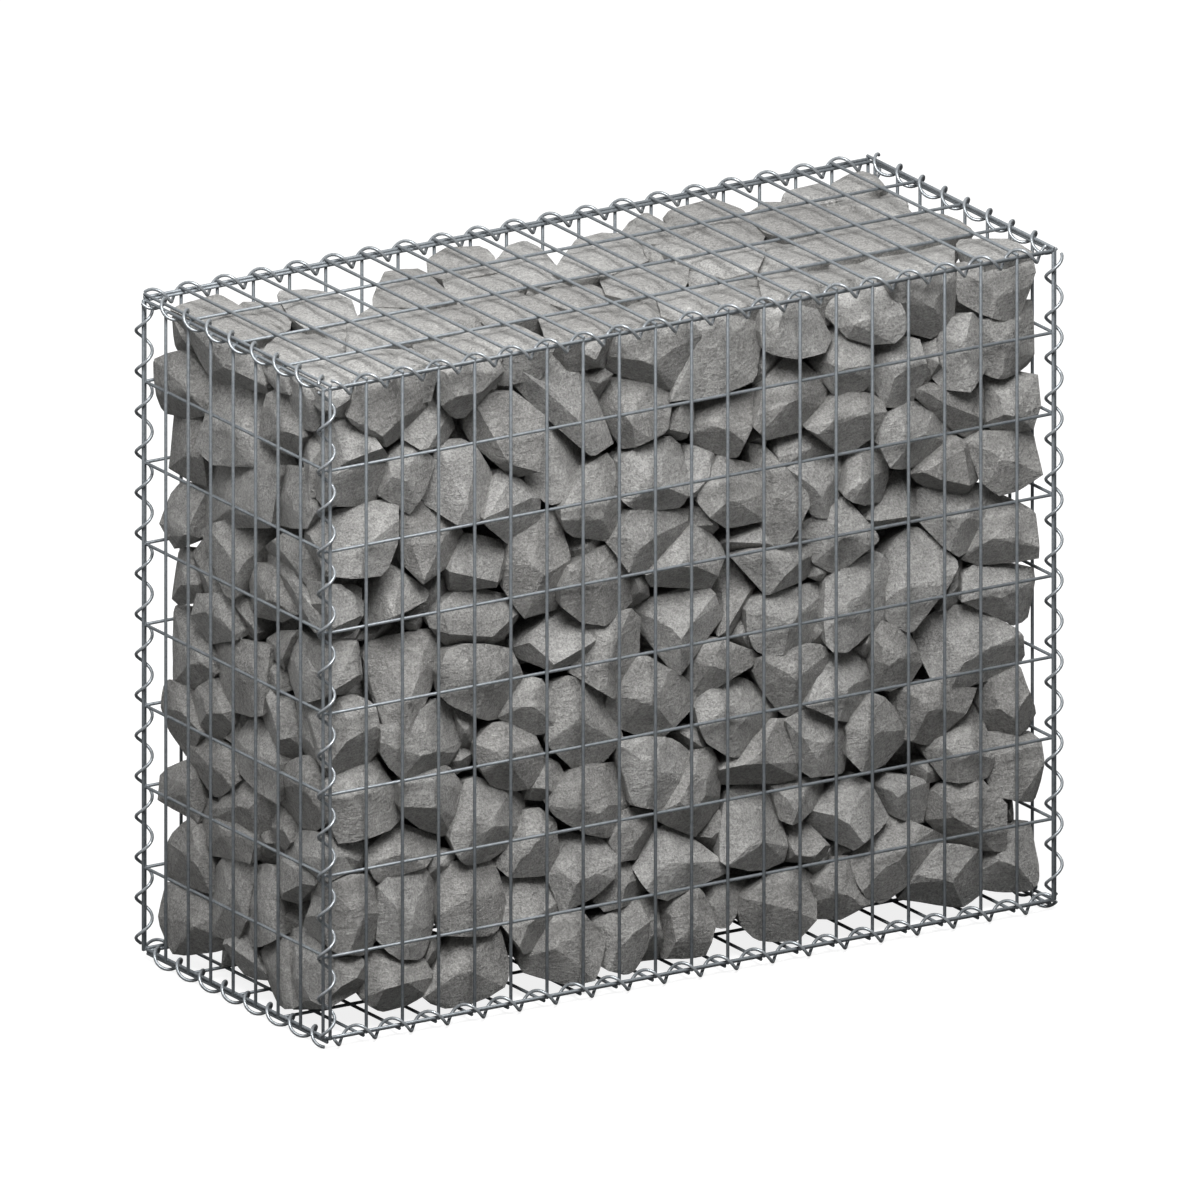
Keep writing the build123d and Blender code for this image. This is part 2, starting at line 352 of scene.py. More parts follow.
# Stones that show. Each has the depth of its nearest corners behind the mesh, its outline, and its
# corners inside the outline, in centimetres on the plane of the mesh that it is seen through.
# A line that starts with a space goes on with the stone above it.
# Front: from the left wire and up from the lowest wire.
FRONT_STONES = """
1.5|-1,80 3.9,80 2.4,76.4 .9,76.7 -1,77.6|3.2,79.7 2.6,78.4 1,77.7
1|4,80.3 2.4,76.4 3.2,75.3 5.9,73.6 7.6,71.8 10.4,72.9 13.5,75.8 12.3,78.4 10.8,80.3|6,74.1 7.3,73.1
 9.3,76.9 10.2,75.1 8.6,79.9
3|11,80.3 13.9,80.3 15,77.8 16.6,74 17.2,72.6 16,71.2 13.2,70.2 10.3,72.3 9,74|14.8,72.2 16.2,74 14.5,77.8
1.5|14.6,80 15.2,78 15.7,75.5 17,73.8 18.6,73.6 19.2,74.4 20.3,75.1 23.5,77.3 24,78.3 23.2,80|16.2,79.5
 16.9,76.3 20.9,76.3 23.7,78.1
1.5|18.4,73.2 19.5,74.8 21.8,75.8 25.3,75.6 29.6,71.9 29.5,69 28.9,65.1 25.3,65 20.3,69.6 19.5,70.4
 18.6,72|20.3,74.6 21.8,73.1 22.8,69.8 24.6,66.8 28.7,65.4
2|24.2,80 23.9,78 25,76.8 29.4,72.1 32,69.8 33.2,68.6 36.2,65.7 39.1,66.9 38.6,68.2 37,72.2 35.8,75
 35.2,77.5 34,80|25.2,76.9 30,72.5 33.2,71.5 33.6,79.3 37.4,70.2 32.5,70.2 36,66.3
2|29.7,72 31.3,71 32,70 33.6,68.2 34.9,66 34.8,62.1 33.9,60.9 30.2,60.8 28.5,62.5 27,64.5 29,65.2|31.4,64.7
 33.5,61.2 30.5,70.5
1.5|0,76.8 2.3,76.4 6.2,73 8.1,70.4 1,70.2 -1,70.3|1,74.5 2.1,70.8 6,71.5
2.5|-1,70 8.4,69.8 8.5,68 7.3,66.3 5.2,64.9 -1,66|.5,69.6 7,69.6
2|8,70.3 10.4,72 13,70.3 14.2,69.3 14.4,68.3 13,65.1 11,63 9.7,63.8 6.9,65.9 8.5,68|8.6,67.9 10.6,67
 11.3,69.5
1.5|14.6,70.3 16.2,71.1 18.1,70.9 20.3,69.5 21,68 22.2,66.2 22.4,65 21.4,60.4 17.6,60.5 16.3,61.8 13.3,63.7
 12.6,65 14.4,68.6|15.6,69.5 16.8,66.5 19.8,66.1 20.3,69 18.9,62.7
1.5|23.4,66.3 26.7,64.2 28.1,62.3 29,61.8 28.7,57.6 27.9,56.8 24.5,57 21.7,59.7 21.4,60.5 22.4,65|21.8,60.7
 25,61.4 24.9,64.8 27.9,62
1.5|10.3,63.5 12.4,64.3 15.8,62.3 16.6,61.2 18.2,59.9 18.7,56.9 15,55 12.9,54 9.9,57 9.7,63|11.4,58.8
 16,59.5 13,54.4 10.5,62.8
1|-1,65 8.4,65.3 9.4,64.6 9.5,60 8,56.9 7,56.1 3.9,56.2 -.5,57.3|1.2,63.7 7.6,64.5 7.8,61.5 .8,59.5 4,57.7
 7.5,57.2
1.5|-1,56.2 1.5,55.7 4.6,53.2 4.5,51.4 3.3,50 0,50|.2,50.5 4.2,51.5
1.5|8.6,57 10.4,55.6 13.4,53.1 13.6,52 8.7,50.3 5,50.3 4.6,53 5.4,54.7|7.8,53.2 9.6,54.9 8.8,50.6
5|13,54 16.5,55 16.6,52 15.3,50.5 10.5,50.2 13.6,52|
2.5|18.5,59.3 24.7,57.1 23.8,53 22.9,51.9 16.7,52.4 16.6,54.9 18.6,56.8|18.8,54 23.2,52.4 24.3,56.7
1.5|24.9,57 28.5,57 29,59.9 31.3,59.9 33.3,53.5 32,49.5 31.2,47.8 26.9,47.4 26,48.5 25.5,50.5
 24,51.5|26.5,56.5 31,57 32.2,50.6 27.2,48
2|14.7,50.5 17.2,52.1 20.5,52 25.5,50.3 26.1,49 26,47.8 23.9,45.3 21.7,44.9 16.2,45.6 16.6,47.2 13.9,48.4
 13.5,49.5|16.7,47.1 20,48 22.5,45.8 25.8,48 15.5,50.2
.8|5.5,48 7.6,48.3 14.5,48.3 16.8,47.2 16.6,46.3 14.8,42.8 13.3,40 12,37 11.1,35.8 9.6,35.5 7.6,37 6.4,40
 5.1,43 4.5,46.5|6,45.9 10.5,46.8 14.7,47.6 7.9,37.4 10.9,36 6.8,40.5 13.6,42
1.5|-1,48.4 1.5,48.7 3.8,48.4 4.4,44.2 4.3,43.7 2,42.3 -.5,42.7|3.6,48 4.1,44.2 .5,42.9
4|0,49.9 4,49.9 3.4,48.9 2,48.2 .5,48.6|
6|3.8,48.6 5,49.9 9.8,49.7 8,49 6,48.2|
5|10.5,49.7 13.9,49.8 12,48.4 10.8,48.6|
.8|15,42.5 16.2,45.1 18.8,45.5 21.7,44.9 24.9,43.8 26,41.8 27,39.3 26.3,37.8 23.2,35.7 21.8,35.7 20.4,36.3
 17,38.2 15.3,39.8|15.8,42 16.5,44.8 21.6,44.6 24.7,43.5 26.4,40.1 19.7,39 21,36.6 26.2,38.2
1.5|25.2,44 30,47 31.6,47.9 33.2,47.5 35.2,45 36.6,43 35.8,41 30.5,40.3 26,42.5|27.6,44.2 28.5,45.7
 29.5,43.2 30.3,45.3 36,42.6 31,40.9
1|-.5,41 1.2,41.8 3.3,41.9 4.6,41 6.2,40.2 6.4,39 7,36 6.8,34.6 4.8,33 3,32.3 .5,32.4 -.5,33.5|.2,40
 5.8,40.2 6.2,36.2 4.3,33.9 .1,34 3,41.4
2|34.8,80 35.2,77.5 36.6,77.4 37.9,76.3 38.6,77.1 39.7,79 39.9,80|36.8,77.5 38,79.8
1|39.8,80 39.5,79 38.2,76.2 40,75.1 43,74 45.3,73 47.2,72 48.5,72 50,73.4 50.6,74.6 51.3,78 50.3,79.6
 49,80|43.3,74.2 50.5,74.5 39.9,76 39.5,78 51,78
1.5|38.6,74.9 40,75 43,73.8 44.8,73.2 47.1,72.2 47.1,70 46.6,67 42.3,65.9 40.4,66.1 38.8,68.5 37.6,70.7
 37.2,72.3|43.8,73.2 41.6,70.2 38.6,74 40.1,68 42.2,66.3 46.3,67.2 39,70.6
3|35.9,75.1 38,76.1 39,75.3 38.4,74.7 37.2,72.6 36.4,73.8|
3|46.8,70 50.3,70.2 50.2,68 49.2,65.6 46.6,66.6 45.5,66.2|48.5,70 49.6,66.2 47,67.2
1.5|50,80 51.3,78 50.7,74.7 50,73.2 47.2,70.7 50.6,70.5 53.3,70.2 58.3,71.2 58.9,72 59.5,75.5
 59.6,80|51.5,78.5 54.8,70.6 55.2,79 57.2,79.5 58.4,71.8 48.6,71.4
3.5|58.3,71.2 59.2,71.5 59.6,74.5 60.3,74.5 62.6,73.2 61.5,71.8 59.7,70.2 58.9,70.3|
1.5|50.4,70 52,70.5 59.6,70 59.9,68.4 58.3,65.5 56.4,62.2 54.6,62.6 50.3,64.9 50,67.5|52.5,69.7 53.8,68
 56,62.9 59.2,68.4 50.7,65.3
1.2|60.2,71 62.9,73.4 65,72.7 67.7,70.1 68.8,68.5 68.2,66.4 66,65 64.7,63.9 60.5,63.7 58.7,65.5 59.9,68.4
 60,70|61,64.3 64.3,64.4 65.4,69.5 60.6,69.3 65.4,65.3 67.5,66.4 64.8,72.3 60.8,70.5 67,70.2
.8|59.6,80 59.6,77 60.1,74.8 61.3,74.1 64.8,72.9 68.4,73.1 69.3,74.7 67.4,78.3 66.6,80|60.2,78.2 67,78.2
 61.4,74.3 66.2,74.3 60.3,75.2 68.6,74.8
3|58.6,65.4 60.3,64.9 60.5,63.2 59.5,62.9 58,63.8|
1|40,64.2 42.2,65.6 44.8,65.8 47,66.3 48.4,65 49.3,62 49.8,60 49.4,58.6 48.6,57.4 45,57.6 43.5,57.7
 41.2,58.8 40.1,60|40.5,63.5 44,63 47.5,65 49,61 41.7,59.3 43.8,58 49,58.7 44.5,59.6
1|35.4,64.6 38.3,65.7 39.2,64.5 39.7,62.5 40,60.5 41.6,57.8 41.5,57 38.8,55.3 38.2,55 35,56.1 33.8,56.3
 32.8,57 32.1,58.5 32,59.8 34,60.8|35.7,64 37.9,64.1 39.5,60.2 40.8,57.8 38.1,56 34.2,56.7 32.4,58.4
 35.5,61.5 37,62.7
3.5|33,56.4 35,56.2 38.3,55 38.6,54.3 36,53.3 33.3,52.6 32.6,54.5|
1|38.4,54.6 40.8,56.3 41.6,57 41.5,58 42.5,58.1 44,57.4 49.4,57 49.4,54 46.2,50.3 44.5,50 41.4,50.6
 40,52.6|40.3,55 43,54.2 47.2,56.2 49.1,56.8 49,54.6 45.6,51 42,50.9 39,54.6 44.2,52.2
1|53.8,62.8 54.6,62.4 58.2,60.6 60,60.3 60.2,53.7 56,53.7 54.7,53.8 52.6,55.5 50.9,57.6 51,58.6
 52.7,60.5|53.6,60 51.7,57.6 54.2,55.2 55.3,54 59.8,54 59.8,60 54.2,62
1|57.9,63.6 60.3,62.8 61.8,60.8 63.2,59 65.6,56.6 66.1,55.8 66.3,54.7 64.9,52.2 63.2,50.1 61.6,50.1 60,52
 60,60 58.3,60.5|58.6,62.8 60.3,60.5 62.6,59.5 65.6,56 65.2,53.4 62.8,50.5 60.3,55 61.4,50.8
2.5|49,64.8 50.4,64.6 53,63.1 53.6,62.2 52.8,60.4 51.2,58.7 50.7,58.4 49.3,58.5 49.8,60.5|52.6,63 52.5,60.4
 50.8,59
2.5|49.4,57.2 50.9,57.6 53.2,55 53.7,54 52.9,53.4 51,54.6 49.4,54.8|51.2,56.9 52.9,54.4
1.5|43.8,49.8 46,50.2 47.6,52.5 49.3,54.2 50.2,54.8 51.4,54.2 52.6,53.3 53.8,51.9 54.5,50.4 53.7,49.6
 53.6,48 52.6,46.8 50.5,47.1 47,47.9 44.5,48.3 44,49|45,49.3 46.8,50.3 50.6,53.8 53.5,50.8 53,48 50.2,48.2
.8|32.4,50.4 33.4,52.4 35,53 38.2,54.3 40,52 41.5,50 42,49.5 42.9,47.7 40,45.7 38,44.6 34.8,45.6 33.5,47
 32,48 32,50|33.4,51 36.8,53.4 40.8,50.6 33.8,49.7 38,46.5 41.7,49
3|41.8,50 43.8,49.9 44.1,47.1 42.2,46.4 40.9,46 41,47.5|42.2,49.7 42.8,47.9
1|35.2,45.3 37,44.8 38.2,44.5 40.2,45.8 41.6,45.9 42.9,44.6 42.8,42 42.6,38 40,35.7 39.3,35.3 37.2,36.8
 35,38.6 33.2,39.6 35.8,41 36.8,42.8|38.1,44.3 38.7,41 42.4,44.5 42.3,38.3 39.2,36.3 37,37.7
1|41.7,46 44.5,46.8 49.3,47.3 52.3,46.8 53.2,45.8 54.1,43.4 54,42.6 51.8,40.3 48.5,36.7 47,37.7 45,40.5
 43,43|43.2,44.3 47,44.4 53.8,43.6 51.2,40.5 48.3,37.5 46.2,40 43.6,43 52.7,46
2.5|53.8,49.9 56,49.8 58.5,47 58.7,45.8 57.7,44 55.4,40.6 53.7,40.6 54,43 53.3,45.8 52.6,46.9
 53.7,48.2|55.8,49.6 57.5,46.5 54.8,41 58.2,45.6
1|55.5,50 57.5,48 60.3,44.6 61,44.6 65.3,45.5 66.3,46 67,47 67.7,48.6 66.8,50 62,50.4|58,49.7 60.5,45
 65.2,49.6 62.3,47.7 61.8,45 66,46.2 67.3,48.6
2.5|54.5,50.2 54.2,51.8 55,52.9 58.3,53.5 60,53.4 60.1,52 61.3,50.4 61,49.8|54.8,52 59.8,52.8 60.6,50.8
1.2|57.7,43 58.5,44 60,44.7 61,44.3 66,44.6 67.7,44.9 68.7,43.7 68.3,41.8 67.4,39.8 66.2,37.2 65.4,36.3
 60,37.3 58.8,38 57.8,40.5|58.1,42 61.2,44 62.4,41 60.5,38 62.5,38 65.4,37 65.8,44 65.9,41.5 68,42.5
3|60.5,63.4 63,63.6 66,63.9 68,62.3 70,60.4 70,60 62.4,60 61.4,61.5|62,61.2 66.5,61.5
1.5|62.9,59.9 70.8,59.9 71.8,58.4 71.6,56.5 70.9,55 68.7,52.6 66.8,53.1 66.4,54.5 66.1,56 64.8,57.6|64,59.5
 66,57 68.2,53.7 71.2,57 70.6,59.3
1|67.6,80 77.5,80 79.5,76 79.8,73.8 78,72.6 74.8,73 71.6,74.4 70.3,75.8 68.4,77.6 67.5,79|71,79.5 71.4,76.8
 73.5,75.4 79.3,75.7 71.9,74.7 78,73.2 79.4,74 76.9,79.8
1|77.2,80 77.4,79 79.6,76 79.9,74 80.4,73.4 83,72.4 84.9,72.9 86.2,73.9 86.3,75 86.6,79 86.4,80|80,76.3
 81.5,77.2 84.8,76.8 86.2,74.8 84.7,73.2 80.4,74 77.8,79.3 86.2,79.5
1|86.9,80 86.7,77.2 87,76.2 90,74.2 93.4,72.7 95.2,72.9 96.2,74.9 97.5,78 97.2,79.3 96.7,80|88,79.6
 88.3,76.4 91.3,75.2 93.6,73.1 92.4,75.7 97.1,78.1
1|84.4,73 86.1,74.3 88.8,74.4 90.3,72.9 91.1,71 91.4,69.3 91.2,68 89.5,65.7 88.6,64.8 84.8,65.8 83.4,67.4
 84.8,69 84,70.2|85.4,72.5 85.2,68.6 88.7,66.2 90.9,69.7 88.5,74 90.4,72.4
2.5|81.4,73.2 84.8,73 84.2,71 84.9,69.4 84.7,68.4 82.7,67.2 82.3,66.7 82.7,68 82.3,70.5|83.8,72.5 83,70
 84.2,69
1.2|74.8,72.7 77.6,72.3 80.4,72.8 81.5,72.3 82,70.6 82.7,68 81.5,66.4 80.3,64.7 79.3,64.4 76.9,65 75.2,67.5
 74.9,70|75.3,69.7 78,69.8 79.6,67 79.9,64.9 77,65.4 81.9,70.2 82.3,68.1 79.3,71.6 75.8,71.9
1|66.2,72.5 68.4,73.1 69.3,74.8 70,75.8 71.4,74.5 74.8,73 75,70.5 74.8,68.4 73.8,67.5 71.6,67.3 69.9,67.5
 68.7,69 67.8,70.2|70.2,75.3 72.6,72.1 71.9,70 71.6,67.7 70,71.2 68.7,73 68.9,69.4 74.6,70.3 67,72.3
1|65.9,64.1 68.2,66 70,67.5 72.9,67.5 75,66.7 76.3,65.6 76.9,64.3 75.7,61.8 73.2,60.8 71.8,60.1 70.6,60.2
 69.6,61.8 67.6,63.1|66.4,64.1 70,62.4 74.8,65.6 72.8,67 70.3,67 71,60.7 76.4,64.6 75.4,62
3|73.5,67.5 74.8,68.5 75.2,67.4 76.6,65.4 75,66.6|
1|76.2,62 76.9,63.5 80.4,65 82,64.4 85.5,62.4 86.5,60.1 86.3,58.6 85,57.3 83.5,56.9 79,56.9 77.6,57.3
 77.1,58.5 76,60.3|77.3,62.8 80.4,64.4 85.8,61.9 78.9,58.6 79.9,59.6 85.6,59.4 86,58.6 85,57.7 79,57.4
1.5|81.3,66.2 82.3,66.7 84.8,66 88.4,64.9 90.5,66.2 90.9,64 90.6,61 89.9,60.1 88.3,59.2 86.6,60 86.3,61.8
 84.5,63.2 81.2,65.2|82,66.1 85.2,63.8 90.2,61.2 88.8,64.2 90.4,65
1|90.4,66.3 92.8,65.7 95.4,66 97.8,65.2 97.8,64 98.2,61.4 97.8,60.3 97.2,58.7 94.4,58.8 92,59.4 90.3,60.6
 90.7,62.5|90.9,65.5 97.2,65 96.7,61.2 90.9,60.9 92.5,60.3 97.3,60.2 96.9,59
1.2|90.2,73 91.9,73 93.5,72.7 95.2,72.9 96,74.3 97,74.6 97.2,72 97.3,68 96.6,66.9 94.9,66 93,65.6 91.3,66.3
 90.5,66.8 90.9,70.5|91.4,69.9 93.4,68.1 95,69.6 96.9,69.9 96.8,74 92,72.6 93,66.1
1.2|71.5,60 73.8,60.9 75.7,61.7 76,60.2 77.2,57.3 77,56 76.2,53.4 74,53.3 72.4,54 71,55 71.7,57
 71.8,58.4|71.8,59.6 75.4,59.8 76,57 74.4,56.3 72.6,54.5 76,53.8 71.5,55.4
1|80.5,56 83,56.8 85.2,57.3 86.3,58.8 86.6,59.5 88.1,58.4 88.7,57.1 89.5,55 89.6,53.8 88.3,52.6 87.3,52.4
 84.8,53 82.7,54 81.2,54.9|82.2,55.9 84.2,56.7 87.7,57.8 86.9,53.9 84.5,54.6 88.5,53.2
1|88,58.6 90.2,59.6 92.5,59.1 96.4,58.5 97.1,58.4 97.3,57 98.1,54.6 98.5,52.9 95,51.5 92.6,51.3 90.9,52.6
 89.9,53.8 89.2,55.8|89,58.2 90.3,58.8 96.1,58 96.6,57 91.2,55.2 93,51.8 98,53.2 90.5,54.5
3|73,53.3 76.2,53.3 76.8,55.2 77.3,56.7 80.3,56.6 81,54.6 81.8,50.6 79.5,50.4 77,50 75,50|79.3,55 80.3,50.8
 75.5,51
1|81.3,53.8 82,54 84,53 87,52.4 88.7,53 90,53.2 91.2,52.4 91.3,50 91.3,48.3 89.8,46 87.8,45.1 86.9,44.8
 84.6,46.6 81.6,49.9 81.3,51.8|82.2,52.8 84,51 91,51 83,49.6 86.9,45.3 88.1,47 91,48.8 85,50
1|65.2,52.5 66.8,53 68.6,52.4 69.8,53.8 71.2,54.6 73.4,52 74.8,50.5 76,48.8 75,48 72,46.6 70.2,45.5 69,46
 66.9,47.4 67.6,48.7 66.2,50.2|69.9,53.4 72,51.7 71,50.4 68.2,50.3 74.6,49.9 70.2,46.2 75.5,48.7 67.8,48
2|62.8,50.2 65,52 66.6,50.3|
1|76.5,46.8 78.4,48.4 80,49.4 81.4,49.2 84.6,46.4 86.4,44.3 87,43.8 85.6,41.4 84,40 82.6,38.4 80.4,36.4
 78.5,37.5 76.9,38.8 77,41 77.2,44|77.3,46.3 80.2,48.7 77.7,40.5 86.2,43.7 83.4,40.2 80.3,37 78.5,40
 82.4,38.8
1|68.6,44.4 70,45.4 73,46.6 75.2,47.3 76.9,46.4 77.2,44 76.8,40.5 76.8,38.7 75,37.6 71.6,35.6 69.6,36
 68.7,36.9 68.4,40 69,43|69.4,44 75.2,46.8 76.6,45.8 76.5,39.2 69.6,40 71.4,36.2 69.2,37
1|87.3,44.4 88.5,45.2 90.4,46.3 91.2,48 91.3,52.2 92.8,51 95.4,49.8 97.5,48.4 97.6,47.4 98,44 97.9,42.7
 95.2,42.7 92,43.2 89.5,43.3|93.8,49.5 91.7,47.4 88,44.7 92,43.5 97.7,43.2 97.3,48
2.5|86.4,44.3 87.3,44.5 87.4,42.5 87.7,40.3 87.3,38.8 84.2,38.5 83.5,39.5 85.7,42|86.8,44 86.8,41 85,39.3
1|87.5,42.3 89,43.2 92,43 94.8,42.4 97.2,41.5 97.4,40 97,38 96.4,35.7 95.6,35.2 94.4,35 92.2,36.2 90.2,37.5
 88.4,38.5 87.5,39|88,41.5 92,42 97,40.3 96.6,38.5 93.3,37 95.3,36.6 88.2,39 92.4,39
3|66.2,45.7 66.9,47.3 69.3,45.8 68.4,44.6 67.2,45.2|
1|12.6,38.4 15,39.3 16.2,38.7 17,37.8 18.4,34.6 18.2,33.5 16.4,31.2 15.1,30.3 12,30 10,30.4 8.2,32.2 7.1,34
 7.2,36.8 9.5,35.4 11.2,35.6|12.6,37.9 14.9,37.9 11.2,31.6 9.3,32.5 7.8,35.5 16.5,38 16,32 15.2,31 14.9,33
2.5|17,37.9 19.9,36.4 20.3,34 19.8,32.5 17.5,33 18.3,34.6|
3|16.3,31.3 17.8,33 19.9,32 19,30.3 17.5,29.8|
1.5|23.3,35.7 26.4,37.7 27,39.3 27.4,40 29.2,39.3 30,38.2 31.5,36.2 31,33.4 29.6,32.6 28.2,32.9
 25.2,34.3|25.7,35.2 27.5,39.4 29.7,38.3 31,36.1 30.6,33.8 28.6,33.2
.8|20,33 21.4,34.4 22.6,35.1 24,35 26.5,33.8 28.2,32.7 29.4,30.4 29.6,29 28.6,27.4 27.4,26.3 25.5,26.3
 22.4,27.4 21.2,29.3 20.2,31.2|20.6,31.5 22.2,31 25,33 28.1,32 28.2,30 27.2,26.9 23.2,28 21.2,29.9 24.6,27.5
1|30.2,32 30.3,37 31,38.7 33,39.1 35,38.3 37.7,36.2 38.6,33.8 40.5,30.4 40,29.7 37.8,27.8 33.6,27.7
 31.8,29.5 30.1,31.3|30.8,37.5 34.8,38 36.4,32.2 35.3,30.4 31.4,30.2 33.8,28.8 38,28.4 39.8,30 31,32 37.2,36
.8|-.6,31.8 .7,32 2.6,32.4 5,32.8 6.3,33.6 7.2,32 8.6,30 9.6,28.4 10,26.4 9.5,25.4 8.2,24.4 5.5,24 3.2,23.8
 1.2,24 .4,25.8 -.6,28|2.7,31.8 6.2,33.1 8.4,29.8 9.1,28.8 5.3,24.6 3.6,29.4 .6,29.6 1.3,24.6 2.9,30.3
1|9.8,29.7 13,30.2 16.3,30.9 17.8,28.8 18.6,27.6 19.2,26.2 18.6,23.8 16.7,22.4 15.4,22.5 12.4,24 10.4,25.6
 9.7,27|10.3,26 12.9,25.3 17.2,26.5 17,28 15.9,30.3 10.4,29 16.6,22.9 18.3,24.2
.8|18.7,28.6 20.1,28.9 22.1,27.6 25,26.5 26.7,25.4 27,21.7 25.9,20.4 23.8,19.2 22,18.3 19,18.2 17.8,19.4
 16.7,21.8 17,22.6 18.5,24 19.2,26.5|19.7,26.8 22.6,26.9 26.4,25.3 26.7,22 20,22.2 19.2,24 17.3,22 17.4,20.1
 19,18.5 21.9,18.6 25.4,20.4
2|26.9,25 27.4,26.3 28.8,27.4 29.8,29 30.3,29.4 31.6,28.5 32.4,26.9 31.2,24.8 30.6,24.3 29,24.5
 27.2,25|28,25.6 29.3,26.3 30.4,28.7 32,27 30.7,24.8 29.5,24.8
1.5|26.8,23.6 28.9,23.5 30,22.6 31.2,21.6 31.3,20 31.7,17 31.3,16.1 30.2,15.2 27.8,15.4 24.9,15.7 22.4,18
 23,18.8 25,20 26.4,21|27,23 28.7,23.2 31,21 27.1,20.3 27.9,17.3 31,16.7 25,16 23.2,18.2
.8|30.2,23.6 31.4,25.6 33.6,27.4 36,27.7 39.6,27.3 40.7,25.6 41.3,23.3 41.3,20.6 40.2,19.6 39.5,18.8
 38.1,18.3 35.6,19.3 33,20.9 31,22.4|31,23.4 33.4,24.8 38.6,25.6 35.2,24.1 34.6,21.6 36.2,20.1 38.2,18.8
 40.9,23.4 40.6,20.5 39.4,26.6 34.2,27
2.5|-.5,23.5 1,23.8 3,23.7 5.6,23.5 5.5,21.5 5.2,20.3 4.4,19.6 1,19.9 -.5,20.5|.5,23 4.6,22.8 5,20.4 .5,20.6
2|5.4,22.6 7.8,24.2 9.7,25 11.5,24 14,22.6 15,22.3 14.9,20.9 13.2,19 9.3,19 6.8,18.2 6.1,18.9 5.4,20.5|7,21
 8,24 9.8,24.6 13.1,22.7 10.4,20.7 14.6,21.6 12.6,19.4 7.6,19.2
.8|-.6,19 1,19.3 3.5,19.6 6,19.2 6.5,17.5 7,15.1 7.3,14.3 6.4,11.4 5.3,9.8 4.3,9.6 1.2,10.4 0,11.2
 -.6,12|.3,17.6 6.2,16.8 6.9,15.1 4.9,10.7 3,10.6 .5,11.8 5.8,18.9 .3,18.8
.8|6.8,17.4 8,18.5 10.2,18.9 12.9,19.1 13.6,17.8 14.6,16.6 14.8,15 14.2,12.5 13.9,10 13,8.1 12.1,7.8 9.6,8.3
 8,9.5 6.5,11.2 7.2,14.3|7.4,17 12.8,18.7 14.4,16.2 14.5,15 13.6,10.4 8.8,9.7 12.2,8.2 6.9,11.6 10.5,17
.8|15,17.5 16.4,18.9 17.6,18.9 19,18.2 22.3,18.2 23,17 23.5,15.6 24.5,12.2 24,11 23.2,9.7 22.3,9 20,9.3
 17.5,10 15.5,10.2 15,12.5|15.6,17 17,18.5 20,17.7 20,12.9 15.6,12.9 22.2,17.8 24.2,12.2 23.2,10.4 20.1,10.2
 16,10.5 22.3,9.3
2.5|13.1,18.9 14.6,20.4 16.9,20.4 17.2,19.2 16.2,18.6 15,17.6 14.5,16.8 13.7,18|
1|23.5,15.7 25,16 27.5,15.4 30,14.9 31,12.8 32.3,10.3 31.7,9.3 29.8,7.2 28,6.3 26.8,5.9 26.2,7 25.7,8
 24.2,9.6 23.6,10.3 24.4,12.5|25.8,15.3 29.7,14.7 29.2,10.6 24.3,10.6 31.9,10.2 26.6,9.4 26.8,6.4 29.4,9.7
.8|30,15 31.4,16 31.6,18 31.4,20 33,19.8 34.8,18.9 37.5,18.3 39.7,16.3 39.7,15 39.2,13.1 37.6,12 36.4,11.3
 34.6,10.8 32.8,10.4 31.8,10.5 31,12.5|31.8,15.6 31.7,19.5 34.8,18.5 39.4,16.2 36.2,15.2 33.2,13.7 33.7,11.7
 36.2,11.4 39,13.2 32,10.8 30.5,14.8
2|-.6,9 1,9.7 4.4,9.4 4.7,8.4 4.7,6.4 4.7,5.7 2,4.7 .3,4.2 -.6,4.8|.3,9 4.3,8.9 4.4,6.5 2.1,5.5 .3,5.2
1|5.2,10.2 6.6,10.2 8,9.6 10,8.1 12.3,7.9 13,7.7 14.4,5.2 13.2,3.2 10.6,2.4 7.4,2.2 6.2,2.6 4.4,4.2 3.9,5.3
 5,6|6.6,9.6 8.2,9.2 12.6,7.5 14,5.2 13,3.6 10.5,4.9 6.1,4.9 5.3,4.2 6.8,3 12,3.1
2.5|12.9,8 14,10.2 15.2,10.4 15.6,9 14.9,7.2 14.1,6.3 13.3,7.2|
.8|14.3,5.8 15.2,7.6 17,9.6 20,9.4 22.3,9.2 23.5,9.4 24.2,7 24.9,4.8 24.4,3 24,2.3 22,1.5 19.5,1.1 17.5,1
 16,1.1 14,2 13,2.9 14.2,4.6|14.8,6 16.8,9.2 23.3,9 24.1,4.7 21,2.6 18.4,1.2 14.2,3.5 23.9,2.6
.8|26.2,5.4 26.6,6.2 28.8,6.9 29.9,7.8 30.3,9.6 32,10.2 34.5,10.1 35.4,9 36.4,7.6 38,5.6 37.9,4.6 37.2,2.2
 36.6,1 33.3,.9 31.5,1.7 29,2.7 26.8,3.7 26.3,4.5|30.6,9 34.5,9.7 36.8,6.8 35.2,3.5 31.1,3.6 30.6,6.6
 36.4,1.6 33,1.5 27.4,4.6 29.8,7.2
.8|42.6,38.2 42.9,39.8 44,39.6 47,37.5 48.8,36.4 50.4,34.4 51.2,33.5 50,32.3 47.5,30.3 45.2,29 43.4,29.8
 40.4,31.4 38.8,33.3 38.2,34.8 38.5,35.6 39.6,35.5|38.7,35 42.9,39.3 48.8,36.1 40.2,33.8 45,35 50.8,33.6
 47.4,30.6 45.2,30 40.4,33.2
1.5|49.2,36.3 50.2,38 51.6,39.8 52.5,40.3 53.8,40.2 55.2,39.2 58.3,38 59.7,36.8 58.4,36.1 55,34.9 52.5,34.1
